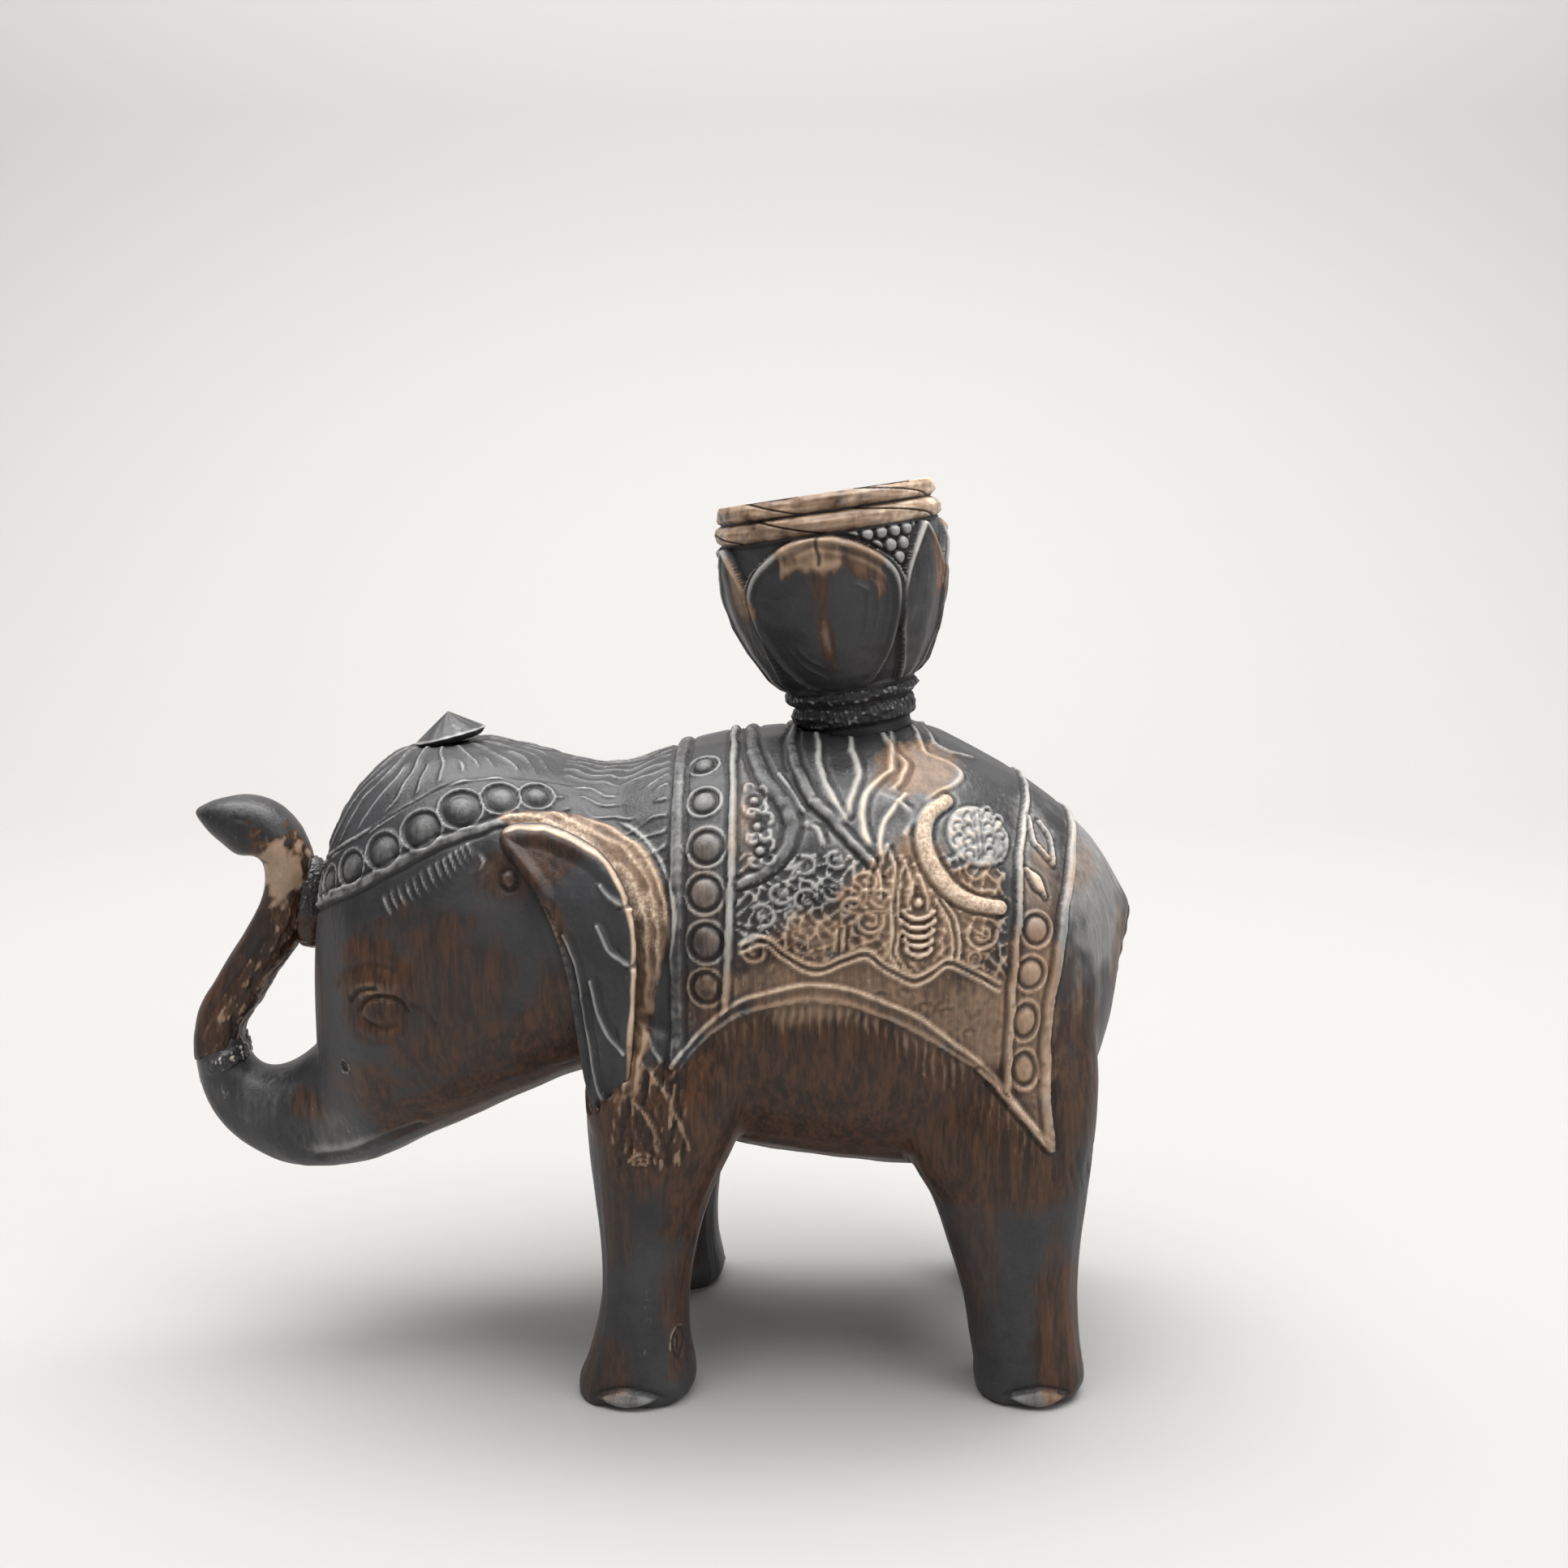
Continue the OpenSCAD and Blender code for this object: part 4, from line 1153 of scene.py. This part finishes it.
def small_petal(c, middle):
    """A narrow petal that peeps out behind two broad ones, with a soft keel and a rubbed flank."""
    gap, turn, petal = c.petal(middle, SMALL_PETAL)
    c.lay(petal, 0.5 * bell(turn, 6) - 0.75 + 0.55 * bell(gap - 0.8, 0.6))
    c.wear_and_light(c.bowl * bell(gap - 0.7, 0.6) * 0.6 * step(c.high, 18, 34))
    c.soil_and_shade(c.bowl * bell(gap + 0.35, 0.5))
    flank = petal * step(turn, 2, 7) * step(c.high, 22, 26)
    c.tint(flank)
    c.wear_and_light(flank * 0.4)


def big_petal(c, middle):
    """A broad petal with a raised rim, a cut along the rim and a few light arcs on its face."""
    h = c.high
    gap, turn, petal = c.petal(middle, BIG_PETAL)
    c.behind = np.maximum(c.behind, (turn > 0) & (turn < 62))
    rim = 0.75 * bell(gap - 1.1, 0.75) + 0.3 * bell(gap - 3.3, 0.6) * step(h, 12, 24) * step(turn, -20, 10)
    part = step(turn, 4, 12) * within(h, 17, 20, 27, 30)
    part += step(-turn, 4, 10) * within(h, 8, 10, 14, 19)
    arcs = 0.3 * part * (bell(gap - 7.8, 0.4) + 0.6 * bell(gap - 5.6, 0.35))
    c.lay(petal, 0.6 * step(gap, 3, 12) - 0.85 + rim + arcs)
    c.sunk = np.where(petal > 0.5, c.sunk * 0.1, c.sunk)
    c.wear_and_light(c.bowl * bell(gap - 1.0, 0.8) * 0.55 * step(h, 16, 34))
    c.soil_and_shade(c.bowl * bell(gap + 0.4, 0.55))
    c.soil_and_shade(c.bowl * 0.4 * bell(gap - 2.3, 0.5))
    petal_tip(c, turn, petal)
    rubbed = petal * within(turn, 12, 18, 30, 36) * step(h, 23, 27) * (1 - step(gap, 4, 8))
    c.tint(rubbed * 0.75)
    c.wear_and_light(rubbed * 0.3)
    c.tint(petal * bell(turn - 1, 5) * step(h, 20, 26) * 0.42)
    streak = petal * bell(turn + 0.5, 4.2) * bell(h - 19, 5.5)
    c.tint(streak)
    c.wear_and_light(streak ** 2 * 0.45)


def petal_tip(c, turn, petal):
    """The bare, folded tip of a broad petal, split down its middle."""
    ragged = 1.1 * np.sin(turn * 0.21 + 0.6) + 0.5 * waves(c.co, 5, 94, 2)
    tip = petal * (1 - step(np.abs(turn + 2.5) + ragged, 13, 18))
    tip *= step(c.high + ragged - 0.05 * turn, 30.6, 33.2)
    crack = petal * bell(turn - 2 + 0.4 * np.sin(c.high * 1.4), 0.9) * step(c.high, 32.5, 33.5)
    c.h += 0.6 * (tip - crack)
    c.soil_and_shade(crack)
    c.tint(tip)
    c.wear_and_light(tip * (0.5 + 0.15 * waves(c.co, 4, 95, 2)))


def seeds(c):
    """Round seeds between the petals, on a slanting grid near the top."""
    row = np.floor((c.high - 20) / SEED_ROW)
    shift = row % 2 * SEED_TURN / 2 - BIG_MIDDLES[0] - 30 + SEED_TURN / 2
    turn = (c.turn + shift) % SEED_TURN - SEED_TURN / 2
    up = c.high - 20 - (row + 0.5) * SEED_ROW
    seed = dome(np.hypot(np.radians(turn) * 24, up), SEED_RADIUS)
    ground = c.bowl * (1 - step(c.gap, -1.3, -0.7)) * step(c.high, 21, 24) * c.behind
    c.h += ground * 1.5 * seed
    c.soil_and_shade(ground * (1 - seed) * 0.6)
    c.sunk *= 1 - ground * seed
    c.wear_and_light(ground * seed * 0.4)


def rope(c, low, high, pitch, slope, cut):
    """A rope laid round the cup in overlapping strands, rubbed to light brown, and lighter on the side
    towards the tail as painted light.
    """
    on = within(c.high, low, low + 0.3, high, high + 0.2)
    place = (c.turn + (c.high - low) * slope + 7 * np.sin(c.a * 3) + 26) % pitch
    crease = bell(np.radians(np.minimum(place, pitch - place)) * 23.5, 0.6)
    swell = np.sin(c.a * 5 + c.high) + waves(c.co, 7, 90, 3)
    fine = np.sin(c.high * 5.2 + c.a * 14 + 1.5 * np.sin(c.a * 6))
    c.h += on * (0.2 * swell - 0.3 - cut * crease - 0.03 * (1 + fine))
    c.soil_and_shade(on * crease)
    c.tint(on * (0.75 + 0.25 * waves(c.co, 8, 4, 2)))
    # Painted light: lighter still on the side towards the tail.
    c.wear_and_light(on * (1 - crease) * (0.53 + 0.22 * waves(c.co, 5, 96, 3) + 0.3 * c.lit))


def slot(c, high, half, depth):
    """A dark groove all round the cup."""
    line = bell(c.high - high, half)
    c.h -= depth * line
    c.soil_and_shade(line)


def collar(c):
    """The milled collar on which the bowl stands."""
    ticks = 0.35 * np.sin(c.a * 52 + 0.9 * c.high + 2.6 * np.sin(c.a * 7)) \
        + 1.1 * waves(c.co * (1, 1, 2.2), 4, 91, 3)
    on = within(c.high, -1.2, -0.6, 6.6, 7.2)
    c.h -= on * (0.2 * (1 - np.clip(ticks, -1, 1)) + 0.25 * (1 + waves(c.co, 5, 92, 2)))
    c.soil_and_shade(on * step(-ticks, 0.3, 1) * 0.5)
    c.wear_and_light(on * step(ticks, 0.4, 1.0) * 0.35)
    # Painted shade: the cup's foot under the collar is darkened.
    c.soil_and_shade(0.6 * (1 - step(c.high, -1.2, -0.6)))


def well_rings(radius, depth):
    """Rings over the rim, down the candle well and across its floor, and their colour masks."""
    floor = CUP_RIM - depth
    line = [(21.9, 46.98), (21.2, 47.0), (20.4, 46.95), (19.7, 46.9), (radius + 0.15, 46.7)]
    line += [(radius, 46.2 - k * (depth - 1.2) / 24) for k in range(25)]
    line += [(radius - 0.3, floor + 0.25), (radius - 1, floor + 0.05)]
    line += [(r, floor) for r in (15, 11, 7, 3.5, 0.6)]
    radii, high = np.repeat(line, CUP_AROUND, axis=0).T
    a = np.tile(np.arange(CUP_AROUND) * 2 * math.pi / CUP_AROUND, len(line))
    rim = 1.0 * (high > 46.6)
    chips = rim * step(np.sin(a * 2 + 2.2) + 0.6 * np.sin(a * 9), 0.5, 1.0)
    wobble = 0.18 * np.sin(a * 7) + 0.1 * np.sin(a * 23)
    co = rings(radii, a, high - rim * (0.25 * chips + 0.08 * (1 + wobble)))
    return co, (0.6 * rim, 0.55 * (1 - rim), 0.35 + 0.35 * rim, chips)


def cup_piece():
    """The cup, leaning with its candle well as the record's mount says."""
    c = CupSkin()
    c.h -= BOWL_DROP * c.bowl
    for middle in SMALL_MIDDLES:
        small_petal(c, middle)
    for middle in BIG_MIDDLES:
        big_petal(c, middle)
    # Painted light: the bowl is lighter on its side towards the tail.
    c.wear_and_light(c.bowl * c.lit * 0.22 * (1 - c.sunk))
    seeds(c)
    for part in ROPES:
        rope(c, *part)
    for high in (38.95, 43.3):
        slot(c, high, 0.4, 0.7)
    collar(c)
    for high in (3.75, 6.9):
        slot(c, high, 0.35, 0.35)
    c.h -= 0.12 * (1 + waves(c.co, 9, 6, 2)) * c.bowl
    mount = next(m for m in frame["record"]["mounts"] if m["name"] == "candle_well")
    depth = mount["dims"]["length_mm"]
    well, well_masks = well_rings(mount["dims"]["r_mm"], depth)
    co = np.vstack([rings(c.radius + c.h, c.a, c.high), well])
    masks = Masks(len(co))
    masks.worn, masks.sunk, masks.brown, masks.pale = np.hstack(
        [(c.worn, c.sunk, c.brown, c.pale), well_masks])
    axis = np.array(mount["axis"])
    foot = np.array(mount["pos_m"]) / MM - (CUP_RIM - depth / 2) * axis
    co = leaning(co, math.atan2(-axis[0], axis[2]), foot)
    return ringed("lotus_cup_carved", co, CUP_AROUND, masks)


# ---- Materials ----

def shader(name):
    """A new material, its node tree and its Principled shader."""
    mat = bpy.data.materials.new(name)
    mat.use_nodes = True
    tree = mat.node_tree
    tree.nodes.clear()
    out = tree.nodes.new("ShaderNodeOutputMaterial")
    surface = tree.nodes.new("ShaderNodeBsdfPrincipled")
    tree.links.new(surface.outputs[0], out.inputs[0])
    return mat, tree, surface


def feed(tree, socket, value):
    """Sets an input from another node's output or from a plain value."""
    if hasattr(value, "is_linked"):
        tree.links.new(value, socket)
    else:
        socket.default_value = value


def mask(tree, name):
    """A colour mask, read from the mesh."""
    node = tree.nodes.new("ShaderNodeAttribute")
    node.attribute_name = name
    return node.outputs["Fac"]


def maths(tree, kind, a, b=0.0, clamp=False):
    node = tree.nodes.new("ShaderNodeMath")
    node.operation = kind
    node.use_clamp = clamp
    feed(tree, node.inputs[0], a)
    feed(tree, node.inputs[1], b)
    return node.outputs[0]


def ramp(tree, value, low, high):
    """Smoothly from 0 to 1 as value goes from low to high."""
    node = tree.nodes.new("ShaderNodeMapRange")
    node.interpolation_type = "SMOOTHSTEP"
    node.inputs["From Min"].default_value = low
    node.inputs["From Max"].default_value = high
    feed(tree, node.inputs["Value"], value)
    return node.outputs["Result"]


def mix(tree, factor, a, b):
    node = tree.nodes.new("ShaderNodeMix")
    node.data_type = "RGBA"
    feed(tree, node.inputs[0], factor)
    feed(tree, node.inputs[6], a)
    feed(tree, node.inputs[7], b)
    return node.outputs[2]


def grain(tree, scale, size=1.0, detail=4.0, rough=0.55):
    """Noise stretched by scale along X, Y and Z; size is in waves a metre."""
    where = tree.nodes.new("ShaderNodeTexCoord")
    spread = tree.nodes.new("ShaderNodeMapping")
    spread.inputs["Scale"].default_value = scale
    tree.links.new(where.outputs["Object"], spread.inputs["Vector"])
    node = tree.nodes.new("ShaderNodeTexNoise")
    node.inputs["Scale"].default_value = size
    node.inputs["Detail"].default_value = detail
    node.inputs["Roughness"].default_value = rough
    tree.links.new(spread.outputs[0], node.inputs["Vector"])
    return node.outputs["Fac"]


def skin(tree, surface, colour, roughness, height, strength, distance):
    """Joins colour, roughness and fine surface grain to the shader."""
    bump = tree.nodes.new("ShaderNodeBump")
    bump.inputs["Strength"].default_value = strength
    bump.inputs["Distance"].default_value = distance
    tree.links.new(height, bump.inputs["Height"])
    tree.links.new(bump.outputs[0], surface.inputs["Normal"])
    tree.links.new(colour, surface.inputs["Base Color"])
    tree.links.new(roughness, surface.inputs["Roughness"])


def rgb(*srgb):
    """Linear colour from sRGB values of 0 to 255."""
    return tuple(((c / 255 + 0.055) / 1.055) ** 2.4 if c > 10 else c / 255 / 12.92 for c in srgb) + (1,)


CHARCOAL = rgb(56, 56, 58)
SOOT = rgb(36, 35, 36)
UMBER = rgb(77, 48, 27)
DARK_UMBER = rgb(35, 20, 10)
TAN = rgb(152, 126, 103)
PALE = rgb(222, 200, 176)
# Grey for rubbed paint, and for painted sheen and highlights.
GREY_RUB_AND_HIGHLIGHT = rgb(156, 155, 152)
# Darkest: grime, and painted shade.
GRIME_AND_SHADE = rgb(24, 18, 14)


def patina_wood(name, fibre=(1000, 1000, 130), brown_amount=0.0, rough=0.34):
    """Dark waxed paint on carved wood: charcoal, rubbed through to brown and tan where hands touch, lighter
    on crests, and with the painted sheen, highlights and shade that its masks carry.
    """
    mat, tree, surface = shader(name)

    def add(a, b, amount=1.0):
        return maths(tree, "ADD", a, maths(tree, "MULTIPLY", b, amount))

    def swing(noise, amount):
        return maths(tree, "MULTIPLY", maths(tree, "SUBTRACT", noise, 0.5), amount)

    fibres = grain(tree, fibre, 1.0, 5, 0.6)
    streaks = grain(tree, tuple(f * 0.3 for f in fibre), 1.0, 3, 0.5)
    blotch = grain(tree, (1, 1, 1), 55, 5, 0.6)
    speck = grain(tree, (1, 1, 1), 1300, 3, 0.7)
    worn, sunk = mask(tree, "worn"), mask(tree, "sunk")
    crest, pit = mask(tree, "crest"), mask(tree, "pit")
    brown, pale = mask(tree, "brown"), mask(tree, "pale")
    uneven = add(swing(blotch, 0.5), swing(streaks, 0.35))
    paint = mix(tree, ramp(tree, add(blotch, swing(speck, 0.25)), 0.3, 0.7), SOOT, CHARCOAL)
    wood = mix(tree, ramp(tree, add(fibres, swing(streaks, 0.6)), 0.3, 0.7), DARK_UMBER, UMBER)
    through = ramp(tree, add(maths(tree, "ADD", brown, brown_amount), uneven), 0.12, 0.72)
    base = mix(tree, through, paint, wood)
    fleck = ramp(tree, grain(tree, (1, 1, 0.55), 620, 3, 0.65), 0.62, 0.74)
    # Lighter where rubbed, on crests, and where painted sheen and highlights are marked.
    touched_and_lit = add(add(worn, crest, 0.26), add(swing(fibres, 0.28), swing(streaks, 0.22)))
    touched_and_lit = add(touched_and_lit, fleck, 0.16)
    rubbed = mix(tree, through, GREY_RUB_AND_HIGHLIGHT, TAN)
    base = mix(tree, ramp(tree, touched_and_lit, 0.16, 0.74), base, rubbed)
    base = mix(tree, ramp(tree, add(touched_and_lit, swing(speck, 0.2)), 0.66, 1.2), base, PALE)
    bare = mix(tree, ramp(tree, speck, 0.3, 0.7), TAN, PALE)
    base = mix(tree, ramp(tree, add(pale, swing(speck, 0.4)), 0.3, 0.8), base, bare)
    # Darker in cuts and hollows: grime and painted shade.
    dirt_and_shade = maths(tree, "ADD", maths(tree, "MULTIPLY", sunk, 0.7), maths(tree, "MULTIPLY", pit, 0.35), True)
    base = mix(tree, maths(tree, "MULTIPLY", dirt_and_shade, 0.75), base, GRIME_AND_SHADE)
    dull = add(add(maths(tree, "MULTIPLY", blotch, 0.2), maths(tree, "ADD", dirt_and_shade, pale), 0.25), fibres, 0.12)
    surface.inputs["Specular IOR Level"].default_value = 0.42
    relief = maths(tree, "ADD", maths(tree, "MULTIPLY", fibres, 0.5), maths(tree, "MULTIPLY", speck, 0.25))
    skin(tree, surface, base, maths(tree, "ADD", dull, rough - 0.08, True), relief, 0.7, 0.0004)
    return mat


def peg_wood():
    """Old pegs and dowels: plain wood, as dark as the wood round them."""
    mat, tree, surface = shader("peg_wood")
    fibres = grain(tree, (300, 1500, 1500), 1.0, 4, 0.6)
    colour = mix(tree, ramp(tree, fibres, 0.3, 0.7), rgb(62, 44, 30), rgb(96, 70, 48))
    roughness = maths(tree, "ADD", maths(tree, "MULTIPLY", fibres, 0.3), 0.45)
    skin(tree, surface, colour, roughness, fibres, 0.4, 0.0003)
    return mat


# ---- Studio, in metres ----

TARGET = (0.02, 0, 0.08)
# Each light: place, what it shines at, its size and its power in watts.
LIGHTS = {"sky_light": ((0.02, -0.02, 1.6), TARGET, (2.2, 1.6), 66),
          "side_light": ((1.0, -0.7, 0.6), TARGET, (0.8, 0.8), 5),
          "front_light": ((-0.6, -1.0, 0.7), TARGET, (0.8, 0.8), 1.2),
          "wall_light": ((0.0, 0.3, 1.3), (0.0, 1.1, 0.3), (1.8, 0.5), 15)}
FLOOR_HALF = 2.2
FLOOR_FRONT = -1.2
WALL_Y = 1.1
WALL_TOP = 1.8
WALL_BEND = 0.5


def floor_and_wall():
    """A pale matte floor that curves up into the wall behind."""
    angles = np.radians(np.arange(0, 91, 6))
    rows = [(FLOOR_FRONT, 0)]
    rows += [(WALL_Y - WALL_BEND * (1 - math.sin(a)), WALL_BEND * (1 - math.cos(a))) for a in angles]
    rows.append((WALL_Y, WALL_TOP))
    verts = [(x, y, z) for y, z in rows for x in (-FLOOR_HALF, FLOOR_HALF)]
    faces = [(2 * i, 2 * i + 1, 2 * i + 3, 2 * i + 2) for i in range(len(rows) - 1)]
    mesh = bpy.data.meshes.new("floor")
    mesh.from_pydata(verts, [], faces)
    mesh.polygons.foreach_set("use_smooth", np.ones(len(faces), bool))
    mat, _, surface = shader("pale_floor")
    surface.inputs["Base Color"].default_value = rgb(158, 156, 154)
    surface.inputs["Roughness"].default_value = 0.7
    mesh.materials.append(mat)
    link("floor", mesh)


def lamp(name, place, target, size, power):
    """A soft rectangular light."""
    light = bpy.data.lights.new(name, "AREA")
    light.shape = "RECTANGLE"
    light.size, light.size_y = size
    light.energy = power
    obj = link(name, light)
    obj.location = place
    obj.rotation_euler = (Vector(target) - Vector(place)).to_track_quat("-Z", "Y").to_euler()


def room():
    """Faint light from all round, behind which the camera sees a pale wall."""
    world = bpy.data.worlds.new("room")
    world.use_nodes = True
    tree = world.node_tree
    light = tree.nodes["Background"]
    light.inputs[0].default_value = (0.94, 0.96, 1.0, 1)
    light.inputs[1].default_value = 0.22
    seen = tree.nodes.new("ShaderNodeBackground")
    seen.inputs[0].default_value = (0.8, 0.8, 0.8, 1)
    path = tree.nodes.new("ShaderNodeLightPath")
    either = tree.nodes.new("ShaderNodeMixShader")
    tree.links.new(path.outputs["Is Camera Ray"], either.inputs[0])
    tree.links.new(light.outputs[0], either.inputs[1])
    tree.links.new(seen.outputs[0], either.inputs[2])
    tree.links.new(either.outputs[0], tree.nodes["World Output"].inputs[0])
    bpy.context.scene.world = world
    bpy.context.scene.view_settings.view_transform = "Standard"


def camera():
    """A little above the elephant's back, on its left side, looking slightly down."""
    lens = bpy.data.cameras.new("camera")
    lens.lens = 38.94
    lens.sensor_width = 36
    obj = link("camera", lens)
    obj.location = (0.02735, -0.358, 0.183)
    obj.rotation_euler = (math.radians(80.6), 0, 0)
    bpy.context.scene.camera = obj


# ---- Putting it together ----

def paint(obj, material):
    obj.data.materials.clear()
    obj.data.materials.append(material)


def settle(obj, material, node):
    """Gives a piece its material and its body, and hides the CAD node that it stands for."""
    paint(obj, material)
    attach(obj, "root")
    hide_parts(node)


floor_and_wall()
for light_name, light_setting in LIGHTS.items():
    lamp(light_name, *light_setting)
room()
camera()

block_wood = patina_wood("block_wood")
ear_wood = patina_wood("ear_wood")
trunk_wood = patina_wood("trunk_wood", (700, 1000, 160), 0.05)
cup_wood = patina_wood("cup_wood", (700, 700, 110), 0.05)
resin = patina_wood("old_resin", (900, 900, 900), 0.0, 0.22)

left_ear = ear_piece("ear_left", "ear_left_carved")
settle(left_ear, ear_wood, "ear_left")
settle(body_piece(left_ear), block_wood, "body_block")
settle(ear_piece("ear_right", "ear_right_carved"), ear_wood, "ear_right")
settle(trunk_piece(), trunk_wood, "trunk")
settle(trunk_resin(), resin, "trunk_glue")
settle(forehead_resin(), resin, "forehead_glue")
settle(tail_piece(), patina_wood("tail_wood", (1000, 1000, 130), 0.1), "tail")
settle(cap_piece(), block_wood, "crown_finial")
settle(cup_piece(), cup_wood, "lotus_cup")
pegs = peg_wood()
for node in ("ear_pegs", "trunk_dowel", "cup_dowel"):
    paint(frame["nodes"][node], pegs)
